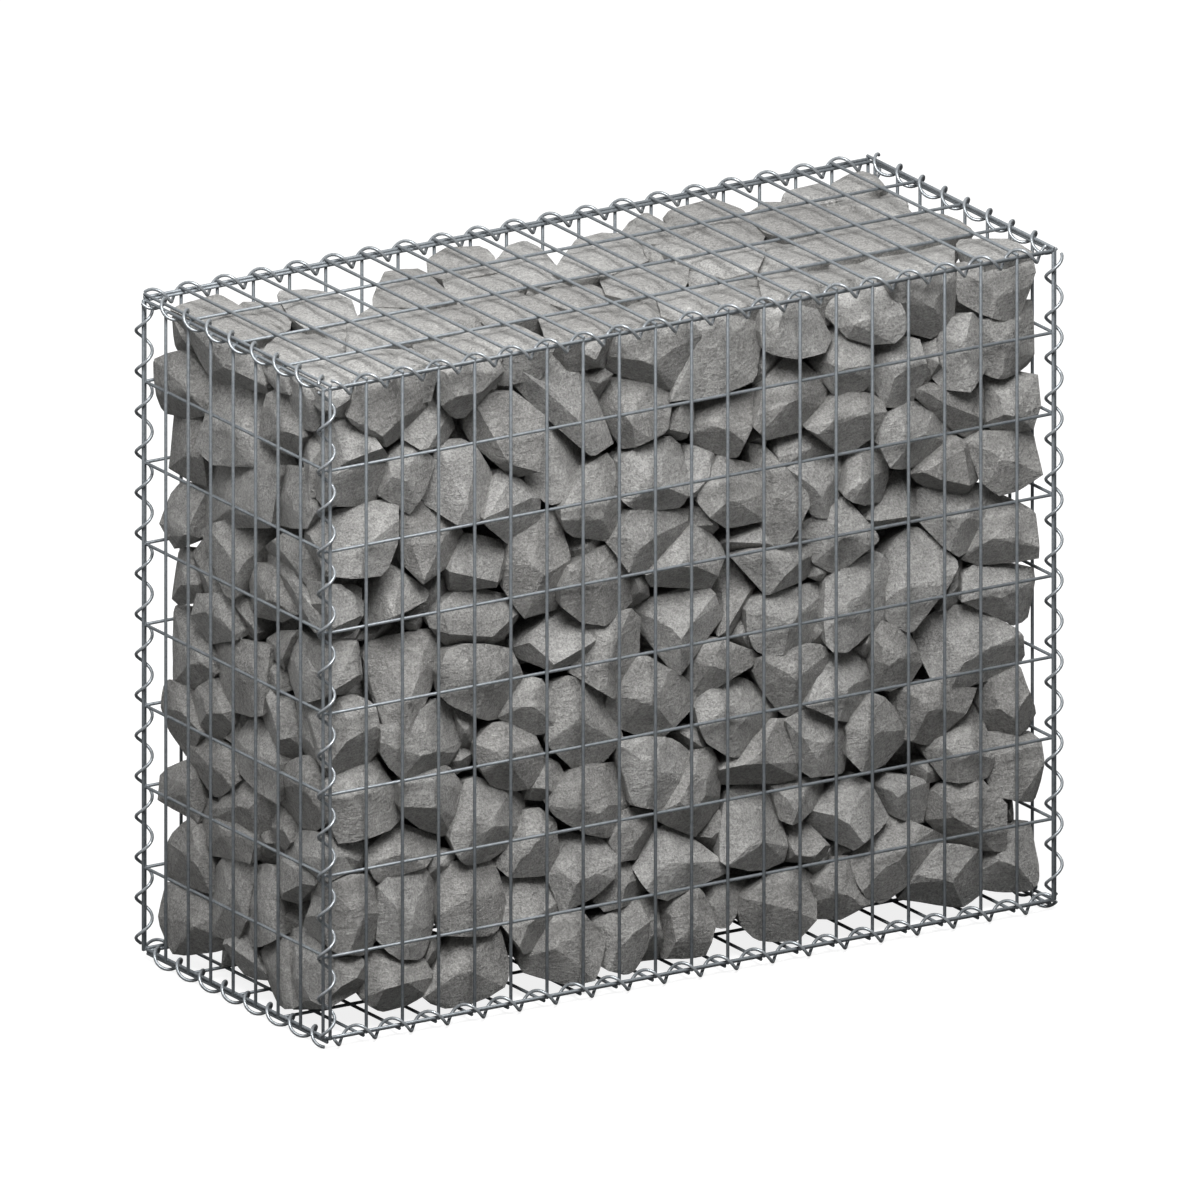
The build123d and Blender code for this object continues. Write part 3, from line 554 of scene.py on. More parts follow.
 51.2,33.4 50.4,34.5|51,38 52,39.8 53.8,39.8 54.6,36.7 51.8,36.6 59.3,36.7 55.2,38.8 50.6,35.2 55,35.2
 51.6,33.9
3|54.9,40.3 55.5,42 57.8,42 57.7,40.5 58.8,38.3 58.2,38 55.2,39.3|
.8|50.6,32.2 51.5,33.4 52.4,34 55,34.8 57,34.8 58.3,34 60.2,32.2 61.9,30.4 61.9,29.3 61,27.6 60,26.3
 56.2,25.2 54.8,25.7 52.2,27.7 51.2,29.8|50.9,32 52.6,33.7 57,34.5 60.3,31 54.2,30.8 53.3,30.3 51.2,29.6
 52.6,27.8 55.9,25.7 59.9,26.8 61.5,29.4
.8|58.7,35.2 59.5,36.7 60.4,37 65.2,36.3 66.4,37.4 68.2,36.9 68.8,35.8 68.8,33.3 67,30.6 65.8,30.1 65,29.1
 63.5,29 62.2,29.8 60.4,32 59.5,33.4|59.2,35.3 60.6,36.6 65.3,35.9 68.2,36.2 68.5,33.8 65.8,31.5 64,30.5
 62.6,30.7 60.4,33.8 61.6,32.6
.8|40.1,29.5 42,30 43.5,29.8 45,29.1 46.4,29.2 47.7,28.7 49,27.4 50.2,26.4 50.2,22.3 49.2,21.6 47.5,20.4
 45.6,20.5 41.7,21.8 41.4,23 41,25.2 40.1,27.5|40.6,29 42.6,29.3 47.4,28.4 46.8,26.8 44.6,24.3 41.8,22.4
 42,26 49.9,26.5 49.8,22.6 47.3,20.9 45.2,20.9
3|46.2,29.9 48.5,30.5 50.8,30.2 51.5,28.5 52,27 50.2,26.6 47.9,28.8|48.4,29.5 50.8,29 51.4,27.3
1|45.3,20 47.8,20.4 49.8,21.8 50.3,23 50.2,26.4 51,26.9 52.6,27 53.4,25.4 54.1,24.4 53.7,22 53.7,19.4
 52.5,18.2 50.5,16.4 48.6,17.5 46.6,18.5 45.5,19.2|50.4,26.3 52.5,26.7 53.8,24.3 51.3,23.3 50.5,24.6
 50.7,20.4 53.4,20.2 53.3,19.2 50.4,16.8 48.4,18 46,19.8
1.2|53.5,22.3 54,24 55,25 56.5,25 60,26.2 60.7,27.5 61.8,28.9 63,28.7 63.4,27.6 64,25 64.8,21.2 62,21
 58,21.7 55.2,22.1|54.2,22.9 55.2,24.8 60,25.8 61.3,27.6 61.9,26.3 63.3,27 64.4,21.5 56,22.4 63,28.3
.8|63.2,28.3 64.5,29 66.6,29.6 69,28.4 71.2,26.6 71.8,25.2 71.5,23.4 71,20.8 69.6,20.8 66.5,21 65.2,22
 64.6,23.5 64,25.5|63.8,27.8 66.4,28.9 66,27 70,27.5 67.4,22.9 70.8,21.5 71.4,25.4 65.4,22.6 67.7,21.6
1.8|39.9,19.2 40.6,21 41.5,21.4 44.5,20.6 44.5,19.8 45,17.5 44.6,16.7 43,15 40.3,15.1 39.4,16.4
 38.7,17.6|40.5,20.4 44,20 44.7,17.3 40.3,17.1 42.9,15.3 39.3,17.5
1.8|39.6,14.5 40.3,15 42,14.3 43,12.4 43.8,11.1 42.8,10.4 42.5,9.7 38,9.3 36.5,10.8 37.6,12
 39.3,13.1|39.9,14.4 41.7,14 43.5,11.2 38.6,12 42.4,10
.8|43,15 44.8,17 45.2,18 46.3,18.5 48,17.8 50.2,16 52,14.6 54.2,12.7 54.7,11.2 52.5,10.7 50,10 46.7,9.2
 45,9.8 43.6,11.3 41.8,14|43.4,14.6 45.4,17.6 46.4,18.2 50,15.7 50.1,12.5 46.4,10.4 44,11.5 54.3,11.5
 54.2,12.4 51,10.8
.8|54.9,21.2 56.5,21.8 60.4,21.3 61.4,19 62.2,16.6 63,14.2 63.2,13 62.9,11.3 60.2,10.7 58,11 55,12 54,12.8
 54,16 54.6,20|55,20.6 59.6,20.6 57.8,16.2 57.2,13 57.1,11.4 54.6,12.6 60.6,20.3 62.9,13.6 62.4,11.5 54.5,16
3.5|50.4,16.4 52.5,18.2 53.9,19.2 54.2,14 54,13 52,14.7|
1.5|61,20.8 64.8,21 66.9,20.8 68.2,20.3 68.1,18 66.8,17 65.2,15.9 64,15.6 62.2,16.5 61.5,18.8|61.5,19.9
 67.9,19.9 64.2,16 62.4,17.1 66,20.6
2|62.4,16.6 64.2,15.8 65.4,16 66,15.2 66.2,14.6 68,13.3 69.1,12.1 68.1,10.6 66.5,10.4 64.5,11.4 62.9,11.2
 63.3,13.2|63.5,13.4 64,15.2 66,14 68.6,12.2 67,11 64.4,11.7
.8|36.2,8.2 38.5,8.7 40.4,9.4 42.2,10.2 43,9.6 44.8,7.2 44.8,5.4 42.8,2.2 42,1.3 41,1 38.6,1.9 37.3,2.8
 37.7,4.2 38.1,5.8 37,7.2|38.4,7.9 42.3,9.8 44.6,6.4 42,1.7 39,2.2 38.4,5.8 37,7.7
2|43.2,9.8 45.2,9.8 45.6,6 46.5,3 45.2,2.2 44,2.9 42.8,2.3 44.8,5.5 44.8,7.4|
.8|45.1,9 47.5,9.3 50.9,9.9 52,8.6 52.8,6.6 53.2,4.8 52.7,3 51.9,1.6 50,1.5 46.6,2 45.9,2.2
 45.1,5.5|45.5,8.7 50.7,9.5 52.5,6.6 51,2.1 46.9,2.4 45.6,7 52.8,5
1.8|51.8,9.6 53,10.4 57.6,10.2 58,9.7 57,7.6 55.8,5.2 55,4.4 53.6,4.5 53.1,5.4 52.6,7.5|53.4,9.8 57,9.7
 55.2,5.2 54,4.9 53.7,7.6
.8|57.3,7.5 60.2,9.4 61.8,10.2 65,10.2 66.5,8.9 67.2,6.8 67.2,3.2 65.6,1.9 64.3,1.1 61,1.7 58.9,2.3 57,4.2
 56.5,6|57.6,7.2 60.4,8.8 62.8,9.2 60.5,6.2 60.3,5.7 64.8,2.1 65.2,9.7 67,6.8 67,3.6 57.5,4.2 60,7.4
1.2|66.9,7.7 68.5,9 69.9,10.3 71.6,10.3 72.7,7.8 73.3,6.2 75.2,4 73.4,3.8 70.6,2.8 67.3,3.4
 67.1,5.5|67.4,7.4 70,9.8 71.5,9.8 72.5,7.7 70,6 67.6,4.7 74.5,4.3 70.5,3.3
.8|71.8,10.2 73.9,11.2 75,12.6 77.2,14.6 78,14.4 81.8,12.3 84.9,10.6 85,9.7 82,7.2 80.1,5.5 77.3,4.1
 76.2,3.8 74.4,4.6 73,6.8|74.4,11 77.2,14.1 84.6,10.3 75.1,10 75.6,8.3 77.3,4.5 80.4,5.9 72.4,9.8 75,4.8
1|66,15.6 67.8,17.8 70,20 72,20.6 74.8,18.6 75.5,17 77.2,14.2 75.8,12.7 73.8,11.6 72.4,11 70.8,12 68.5,13.3
 66,14.8|66.5,15.5 70.4,19.6 72.7,18.2 71.1,13.6 72.4,11.5 76.8,14.3 75,18 68.8,13.7
2.8|75.1,18.6 77.2,19.5 80.6,18.6 82.8,17.6 82.5,15.5 82,12.8 80.4,13 77.4,14.6 76,16.6|76.2,17.4 80.3,17.4
 82.4,17 81.7,13.4 78,14.9
4|80.2,19.8 82.7,20.4 84,19 85.5,17.7 82.5,17.5 80.8,18.4|
.8|81.8,22 83.5,22.8 85.2,24 87.2,25 89.1,26.6 89.9,24.2 91,22 91.2,20.4 91.9,18.8 91.4,17.6 90.5,16.6
 87,16.8 85,17.4 83.2,19.9 82.6,20.5|82.4,21.8 85.9,22.7 85.8,24 89,25.8 90,22.9 86.6,20.1 83.6,20.3
 85.4,18.8 87,17.2 90.5,17 91.7,18.9 91.2,20.2
.8|77.2,29.4 79,29.8 82.8,30 84.8,28.8 87,28 89.3,28 88.9,27 87.8,25.2 86,24 85,23.9 84.4,23.2 83.4,22.2
 82,22.4 79.5,23.5 79.2,24.6 78.4,27.3|77.8,29 83,29.8 84.8,28.4 85,27.1 80.3,23.9 88.9,27.8 85.6,24.8
 81.4,24 79.4,25.5 83.4,22.6
.8|71.6,26 72.3,27.2 74,28.6 75.2,29.7 76.7,29 77.9,27.6 79.3,24.6 79.4,23.3 76.8,21 75,20.4 73.6,20.5
 71.5,22.8 71.8,25|72,26 74,28 75.2,29 76,27 76,24.9 74.8,23 73.8,20.9 79,24.8 79,23.5 71.8,23
1|68.6,35.7 70.5,35.5 72.8,35.6 74.6,34.4 76.4,32 76.6,31 75,30 73.4,28.4 71.6,27 70.4,27.4 68.6,28.8
 66,29.8 66.6,30.6 68.8,33.4|69,35 72.6,35.3 74.6,34.2 70.2,33.5 76.2,31.6 67.6,30.6 71.3,29 74.8,30.4
 71.7,27.6
2.5|72.4,35.8 74.8,37.7 75.4,37.3 75,33.9|
1|74.9,33.5 75,37 76.6,38.4 78.8,37.3 80.4,36 81.2,34 81.8,32.4 80.2,30.4 77.5,29.8 75.3,30.4
 76.4,31.8|75.3,37 76.8,38 78,36.9 77,31.7 75.6,32.2 80.3,35.9 81.5,32.5 80,30.7 77.4,30.3
.8|80.6,36.4 82.6,38 84.8,38.9 88.2,38.4 90.2,37.4 93,35.6 94.7,34.5 95.7,33.6 96,31 95.2,30 93.8,29.4
 89,28.6 85.4,27.9 83.9,29.2 82.8,31 81.6,33.4|81.2,36.2 85,38.4 88.2,38 85,35.3 91,35.2 94,34.6 95.6,32
 95,30.4 85.2,30.3 83.2,31 85.6,28.5 89,29
1|89.3,28 91.5,28.8 94.2,29.4 95.3,29.8 96.2,27.6 97.2,24.9 97.5,23.6 96.4,21.9 95.3,21.3 93,21.8 91.2,22.5
 90.4,23.4 90,25.2 89.2,26.8|90.6,27.6 95.2,29.3 96.9,25 97.2,23.9 95.3,22.2 94.8,22 91.2,25.4 90.2,27
1|91,22.3 94,21.6 96.6,21.4 98.3,20 98.7,17.2 98.2,15.2 97.5,13.2 97,12.7 95.2,13.3 92.6,14.1 91.3,15.5
 90.8,16.8 91.8,18 91.8,19.2 91,20.5|91.6,21.6 97.8,20 98.4,17.2 97.4,14.3 95.6,13.8 94.7,14.8 93,18.8
 91.4,16.8 94.8,18.4
.8|82.3,15.8 84.8,16.9 87,17 90.2,16.5 92.2,14.4 93.5,13 93.5,10.3 93.4,7.2 90.2,7.9 87.5,9 85.2,10
 83.8,11.5 82.3,13|82.9,15.5 85,16.6 89.9,16 90,13.6 83.9,12 93.2,12.8 93.2,10.4 93.3,7.4 90.2,8.2 86,9.8
1|78.6,3.9 80.2,5.4 82.2,7.2 85,9.5 87.2,9 89.6,8 90.4,6.6 90.4,3.4 89.9,2.5 87.5,1.4 86,1.7 83.6,2.5
 80.6,3.6|81,4.6 85,9 83.6,7.4 89.3,7.5 90.2,5.8 89.8,2.9 86,4.4 84.6,3.2 87.5,1.8
1|90.4,7.8 92,7.4 93.6,7.2 93.8,10.4 95.4,10.6 96.8,10.2 97.2,7.6 97.9,4.8 98,3.2 97.7,1.9 95.8,1.9 92.6,2.4
 90.4,3.1 90.3,5.5|91,7.2 94,9.8 96.5,9.8 96,5.2 94,4 97.6,4.6 97.3,2.3 92.8,2.9 90.7,5.4
3|93.4,13.2 94.3,13.6 94.5,10.4 93.5,10.3|
2.5|66.4,37.4 67.7,40.2 68.8,41.5 69,36.4 68,37|
3|66,10.2 68.2,10.6 69.5,12 70,10.2 67.2,8.2|
4|69.2,12.4 70.4,12.2 72.3,11 74,11 73,10.2 70,10.2|
"""

# Left end: from the front wire of the end, and up from the lowest wire.
LEFT_STONES = """
3|33.6,79.8 33.4,78 32.9,76.3 31.9,76 29,76 27.4,75.9 29.5,78 31.5,79.3 31.8,80|
1|31.4,80 31.2,79.2 28.5,77 25.5,74.9 22.5,74.7 19.5,75.6 15,76.2 12,76.2 13.2,77 14,78.4 15.4,80|30,79
 28.5,78.2 24.2,75.8 19.8,76.2 12.9,76.5 15,79.5
3|14.2,78.5 12.6,76.2 11.5,76 10.3,77.2|
2|14.8,80 14,78.6 12,77.7 9.8,77.1 7.6,77.4 5.4,78.7 5,80|13.8,79 8,77.6
1|7.6,77.6 7.3,79.8 3,80 -1,79.9 -1,77.8 .5,76 1.8,74.6 3,74.2 4.8,74.3 6.8,75.2|7.2,77.5 6.7,75.6 3.4,74.6
 .9,76.3 .2,79.5 4.8,79 6.4,79.5
1.2|37.8,73.3 34.6,75 32,76 29.5,76 25.6,74.9 23.5,73.6 25.2,71.5 26,70.2 26.4,69.7 29.5,68.5 33,68
 34.9,67.6 36,68 37.1,69.2 37.6,70.8|37.3,73 34.2,74.6 34,73.4 31,71.2 29.4,75.4 29.2,71 26.2,70.4 37.2,70.6
 34.6,70.4
1|28.4,65.3 26,70 24.3,72.2 22.2,74.5 19.8,75.5 17,76 12.6,76 13.6,73 14.2,70.2 10,69.6 5.4,68.8 9.8,68.3
 14.8,66.5 17,66.4 20,65.2 24.2,64.1 26.5,64.5 28,65|26,69.7 22.2,74 18.2,75.2 13.2,75.4 17.6,71.5 22.2,70
 21.1,67.8 18.5,67.2 27.9,65.6 24.2,64.7 20.8,65.8 14.6,69.6
1.2|12.6,76 10.6,77.1 8.6,77.3 7.5,77.1 6.8,75.3 4.6,74.2 4.4,73 5.6,71 6.2,70.2 10,69.8 14.2,70.2
 13.7,73|13.2,73.5 10.2,76.6 9.8,73.4 5.2,73.8 5.6,71 12.8,70.4 10,70.3
1.2|4.5,73 3.2,73.9 1.5,74.6 -1,74 -1,67.4 .5,67 3.2,65.8 4,68 4.3,70|3.7,73 .7,70.3 -.8,73.8 4.1,70
 3.3,66.4 -.8,67.8
3|3.3,65.7 -1,67.3 -1,65 1.8,64.7|
2|33.1,67.8 30,68.6 27,69.4 27.2,67 28.4,65.2 27,64.4 26.6,63.6 26,61 30,60.8 34.3,61 34,62.8
 33.5,65|32.6,67.4 27.6,68.6 28.9,65.2 33,65.4 33.8,61.9 29,62.7 27.2,63.6
.8|26.9,63.6 24.2,64 20.5,64.9 15,66.5 10.5,67.9 9.8,66.8 11,64.7 12.2,62.3 13.4,60.3 11.8,59.8 15.4,58.9
 17.6,59.4 20,58.8 24,57.1 26,56 26.4,60|26.2,63 20.5,64.4 20.2,60.5 25.8,60.4 11.2,66.8 11.4,64 14.6,60.6
 18.5,60.6 25.6,57.2 17.6,59.7
1.2|9.6,67.6 7.5,68.6 4.6,69 4.4,67.5 3.4,65.7 1.8,64.6 3,63 3.8,61.8 8,61 13.4,60.3 12.4,62.2 11.2,64.5
 9.9,66.9|9.2,67 5.3,68 4.8,62.2 12.8,60.7 10.9,64.4 3.8,64.8
1|3.9,61.4 2.8,63.2 1.6,64.6 0,65.2 -1,65.1 -1,58 .3,58 2.2,58.8 3.8,59.8 4.1,60.5|3.5,61.2 1.4,64 -.8,64.5
 3.5,60.4 .4,58.6 -.8,60
1.2|31.5,60 33.8,57.9 34.8,56 36.5,53.7 34.8,52.4 33,51.5 31.6,52 29.5,53 27.8,54.2 26.4,54.9 26.1,56
 26.4,59.9|31,59.6 33.6,57.3 34.4,55 31.8,52.6 29.4,53.3 26.8,55.2 26.9,59.6 36,53.9 33,52
1|27.2,55.2 24,57 20,58.6 17.7,59.3 15.4,58.8 12,59.8 10.6,58.8 13,57 14,55.7 15.2,54 16.4,51.8 18,50.3
 19.3,49.2 20.2,48.6 22,48.9 23.2,50.2 24.5,51.8 25.8,53.8|26.4,55.1 18,58.7 12.8,58.5 20,55.4 15,55.2
 23.5,54.4 24,52.6 22.6,50.5 20,49.4 16.6,52.6
2|29,51.8 27.6,53 26.5,54.4 25.4,53.2 23.8,51 22,49 24.4,48 27.2,47.4 28.4,49.5|28.5,51.6 26.4,53.4
 24.2,50.6 27.2,48 24.5,48.5
2|32,51.4 30.6,52.2 29,51.8 28.5,49.5 27.4,47.2 28.6,46 30.4,45.3 32,44.7 33.6,45.1 33.2,47
 32.5,49.5|31.8,50.8 29.2,51.2 28.2,47.4 31.8,45.3 33,45.9
2.5|20.3,48.1 19.3,49.3 17.6,50.6 16,49.2 13.6,47.8 14,46.5 14.8,45 15.8,45.2 17.8,47 20.4,47.3|19.7,48
 17.4,49.8 15.4,48 15,45.8 17,47.4
3|20.7,47.3 18,47.1 15.4,45 17.4,44.4 19.8,44.8|
1|16.4,51.6 15,54 14.8,54.6 12,55 10.8,55 8.5,53 6.4,51.5 5.2,51 7.5,49.9 9.2,48.9 14.6,48 15.9,50|16,51.4
 14.8,53.8 11,54.6 13,50.4 14.6,48.4 7.2,51.4 9,49.4
1.2|14.3,55.6 13.6,56.6 9,57 7.6,57.1 5.8,55 4.2,53.2 2,52.2 -.4,50.4 2,49.6 4,50.2 6.5,51.5 9.8,53.5
 12,55|13.7,56.1 9.6,56 7.6,56.5 4.6,53 9.4,54 .5,50.5 4.6,50.8
1.5|13,57.1 11.2,58.3 9,59.8 6.5,60 3.9,59.8 2.2,58.6 .4,57.9 -1,57.7 -1,55.4 1.2,55.7 3.2,54.6 4.3,53.5
 7.4,57.2 9.6,57|12.2,57.6 8.8,59.3 5.8,59.6 8.8,57.4 4,58.6 .5,56.6 4.5,54.5
1|4.2,53.4 2.8,54.7 1.6,55.4 -1,55.3 -1,50.2 .3,50.6 2.2,52|3.7,53.4 1.6,54.8 -.7,54.8 .2,51.2
1|28,47.1 24.6,48 22,48.9 20.3,48.3 20.8,46.2 19.7,44.5 19.4,43.9 22,43 25.2,41.8 27,43 29.3,44.2
 28.8,45.6|28.3,45.8 27.3,47 22,48 20.8,47.6 20,44.3 25,42.3 28.8,44.4
1.8|33.2,44 32,44.7 29.6,45 29,44.2 25.3,41.8 24.7,40.2 24,38.5 25.2,37 28,35.5 30,35 33.3,34.8
 33.4,40|32.8,43.2 29.4,44 32.9,40.2 25.8,40.8 32.8,35.6 28.6,36 25.2,38
.9|24.8,42 22,42.9 19.4,43.9 13,45 11.8,44.9 13.5,42.5 14.8,40.5 14.6,38.4 13.6,36.2 16,35.4 19.7,35 21,35.7
 23.7,37.7 24.4,40|24,41.6 19.3,43.2 12.6,44.6 19,41 18.7,39.4 17.9,35.5 14.4,36.2 14.9,40.4 20.4,35.8
 23.4,38.4
1|8,45 6.4,46.8 4.8,48.8 3.4,48 1.4,47.6 -1,48 -1,42.5 1.5,41.6 4,40.4 5.8,40.3 7,42 8.2,44|7.8,44.6 5,47.8
 1.7,46.8 -.8,47.2 .2,44.8 6.9,42.2 5.4,40.8 -.8,43
2|12.4,45.9 9.8,47.5 5.6,48.8 6.5,46.8 8,44.8 8.4,43 10.5,43.8 13.4,42.8 11.9,45|11,45.6 7,47.6 9,44.4
2|14.8,42 12.6,43.1 10.4,43.9 8.4,43.1 6.6,41.2 10.2,40 14.4,40.2|
1.2|14.6,38.4 14,39.8 6,39.8 5.4,38 5.2,36 5,33.4 7.8,31.7 9.9,31.4 11.6,33.4 13.2,35.8|13.8,38.2 9.8,38
 7.8,37.1 6.2,38.2 5.6,33.8 8.2,32.2 9.9,32 10,39.4
.8|4.4,39.2 3.8,40.2 1.5,41.4 -1,42.2 -1,33.8 .4,33.4 2,34.5 3.2,36.5|4,39 3.5,39.8 -.7,41 2.6,35.6 .6,34
 -.8,34.6
2|6,39.8 4.4,40 4.2,38.8 3.3,36.8 2,34.6 .5,33.5 -1,33 -1,32 1,32.4 4.5,34.5 5.3,36|
1.5|35.3,34 34.2,34.8 30.2,34.9 29.4,33.8 28.2,31.5 27.2,30.2 28.4,29.5 29,27.5 30.2,26.4 31.8,27.4
 34.4,28.7 35.2,29.8 36,31 35.8,32.4|34,34 30.2,34.3 30.8,31.2 35,33 35.4,31 34.4,30.4 29.2,30.3 29.6,27.2
1.2|29.3,34.3 28,35.5 25.6,36.8 24.4,37.9 23.4,37 21.5,35.9 19.9,35 20.1,33.2 21.2,31.8 22.5,30.5 27.7,30.7
 28.6,32.4|28.6,34.2 25.2,36.4 24.2,37.2 20.4,34.8 20.7,33 23,31 27.4,31
.8|13.9,35.5 16.6,34.6 18.4,32.8 19.8,30.6 21.4,28.7 19.4,28.1 17,27.2 14.6,26.5 10.3,26.2 9.8,28 10,31
 11.2,33.3 12.4,34.9|13.8,34.8 16.4,34 19.2,30.8 20.6,28.9 16.6,27.9 11,29.9 10.5,31.2 14.8,31
.8|9.8,30 8.4,31.2 7.4,32.1 4.4,33.6 3.6,33.9 1.8,32.9 -1,31.9 -1,27 .4,26.2 2.2,24.8 4.8,24.8 7.6,25.6
 9.8,26.4|8.2,31 4,33 .2,31.6 9.3,29.6 9.6,28 5.2,27.8 3.8,26.1 -.7,27.2 .2,26.8
1.5|30.2,26 32.5,24.9 34.6,23.8 36.2,22.5 36.5,21 36.7,19.4 32,19.2 28,19 27.2,20.5 26.4,21.9 27.3,24
 28.6,25.2|30,25.4 33.8,23.6 35.8,22.2 36.3,20.4 28.4,20.3 27,21.8 27.8,24.2
1|29.5,26 29.4,29.8 24,30.2 21,29.8 21.3,28.6 19.8,27.8 18.8,26.6 20.4,25.4 22.4,23.9 24,23.3 25.6,23.8
 27.6,25.2|29,26.6 27.4,29.4 27,26.2 24.4,24.2 20.6,26 23.8,29.6 21.6,28.8 29,29.4
1.2|19.4,26 17.8,26.9 15,26.4 12,26.3 10.2,27.2 9.4,25.9 10.4,24.6 11.2,22.9 14.4,22.2 15,20.8 19.6,20.7
 24,20.7 24.8,21.4 22.6,23 21.4,24.2|19,25.6 15,25.8 10.4,25.8 11.4,23.1 14.4,22.4 15.2,21.2 23.4,21.2
 20,23.6 20.6,24.6
1.5|10,26.2 7.4,25.4 5,24.6 6.6,23.2 8.2,21.2 8.9,21 10.4,21.4 11.4,22.9 10.4,24.6|10,25.4 6.2,24.4 8.6,21.8
 10.2,22 11,22.9
2|14.8,22 11.6,22.8 10.3,21.2 9.8,20 13.6,18.4 14.2,19 14.8,20.8|
1|8.4,21.2 6.8,22.8 5,24.2 2.4,24.8 -1,25 -1,19.6 .8,19.3 3.6,18.8 5,19 8.6,19.9|7.8,21.2 4.6,23.6 1.4,24.2
 -.8,24.2 -.8,20 3.4,19.2 7.8,20.2
1.2|9.6,19.9 5,19.8 1,19.2 3,17.4 5.6,15.2 8.8,14.8 10.4,15.2 10,17.5|9.2,19.4 4.9,19.2 4.6,17.8 8.9,15.5
 9.6,16
1.2|27.2,21 25.6,22.5 23.6,22.6 22,20.8 16.2,20.4 15.7,19 16.3,17.1 20,16.8 24,16 27.6,15.4 27.4,17
 27.6,19|26.8,20.8 16.6,19.8 23.6,19.2 20,17.2 23.8,16.9 27,16 16.6,17.6
1.2|29.6,19 31,18 33.4,16.1 34.6,14.6 35,12.5 34.7,10.4 30,10.6 25,11 23.6,12 24,14.4 26,15.4 27.8,15.6
 27.6,18|29.4,18.3 33.4,15.4 34.4,13.5 34.3,11 27.4,11.6 24.6,12.6 26.6,15 29.4,14
1|24.4,14 22.4,16 19.8,16.7 15.8,17.2 15,16.8 15.6,14.8 16.8,12.8 17.2,9.8 19.4,7.8 19.2,6.6 22,6.3 24.8,6
 25.4,9.8 23.2,12.6|23.8,13.8 20.4,16.2 22.8,12.6 21.4,10.5 16.8,13 15.9,16.6 17.4,10.2 24.9,9.4 24.4,6.6
 20,7.3
.9|15.2,17 13.7,17.4 12.8,18 11.2,18.2 10.4,16 10,14.8 11.2,12.8 12,11 10.2,9.6 13.5,7.8 15,7.2 16.7,6.8
 17,9.8 17,11.6 16,14.6|14.8,16.4 12.8,17.6 11,17.8 11.1,13 12.2,10.5 16.8,11.2 16.9,9.8 16.5,7.1 14.6,7.6
 10.8,9.7
3|10,15 7,15.2 5.4,15 4.8,12.6 7,11.2 8.4,10.4 11,10.2 11.6,11.4 10.8,13.2|
1|4.4,12.8 3,15.2 1.6,17.8 .6,18.8 -1,19.2 -1,12 .2,11.6 1.2,12.6|3.8,13 1.4,17 1.2,14.8 .6,18 -.7,18 1,12.9
 -.7,12.6
.9|8,10.4 6.6,11.6 4.6,12.4 3,12.4 .2,11.2 -1,10.6 -1,4 1.4,4.6 4,3.6 5.8,2.2 6.6,1.8 7.8,4.4|7.6,10
 4.4,11.8 -.6,10.2 -.6,7.4 7.7,4.6 6.6,2.5 4.6,3.6 -.7,4.8
1|14.6,6.3 12.6,8 10,9.5 7.8,10.4 7.9,4.6 6.8,1.9 8.6,1.4 10.3,1.7 12.2,3.8 13.8,5.4|13.8,6.3 10,8.8 9,9.9
 8.2,9.8 8.6,1.8 10.2,2.3 10.4,7
1.8|17.2,9.4 16.6,6.8 14.8,6.8 12.6,4.4 12,3.9 15.4,3.2 17.6,3.2 20.6,4.4 22.3,5.4 21.8,6.2 19.5,6.4
 19.3,7.8|17.2,8.6 19,6.4 17.5,5.8 21.5,5.8 13,4.6
1|34.7,9.7 33,9.4 30.8,9 26,9.8 25.2,7.8 24.8,6.2 21.9,6 22.2,4.9 24.6,3.9 28,2.8 31,1.8 33.4,1.3 34.8,2.3
 36.2,3.9 36.6,5 35.7,7.6|34,8.8 26.2,9.2 25.2,5.2 31.5,3.9 32.9,3.3 34,4.8 36,5 35.8,4 33.4,1.7 24.8,4.2
"""

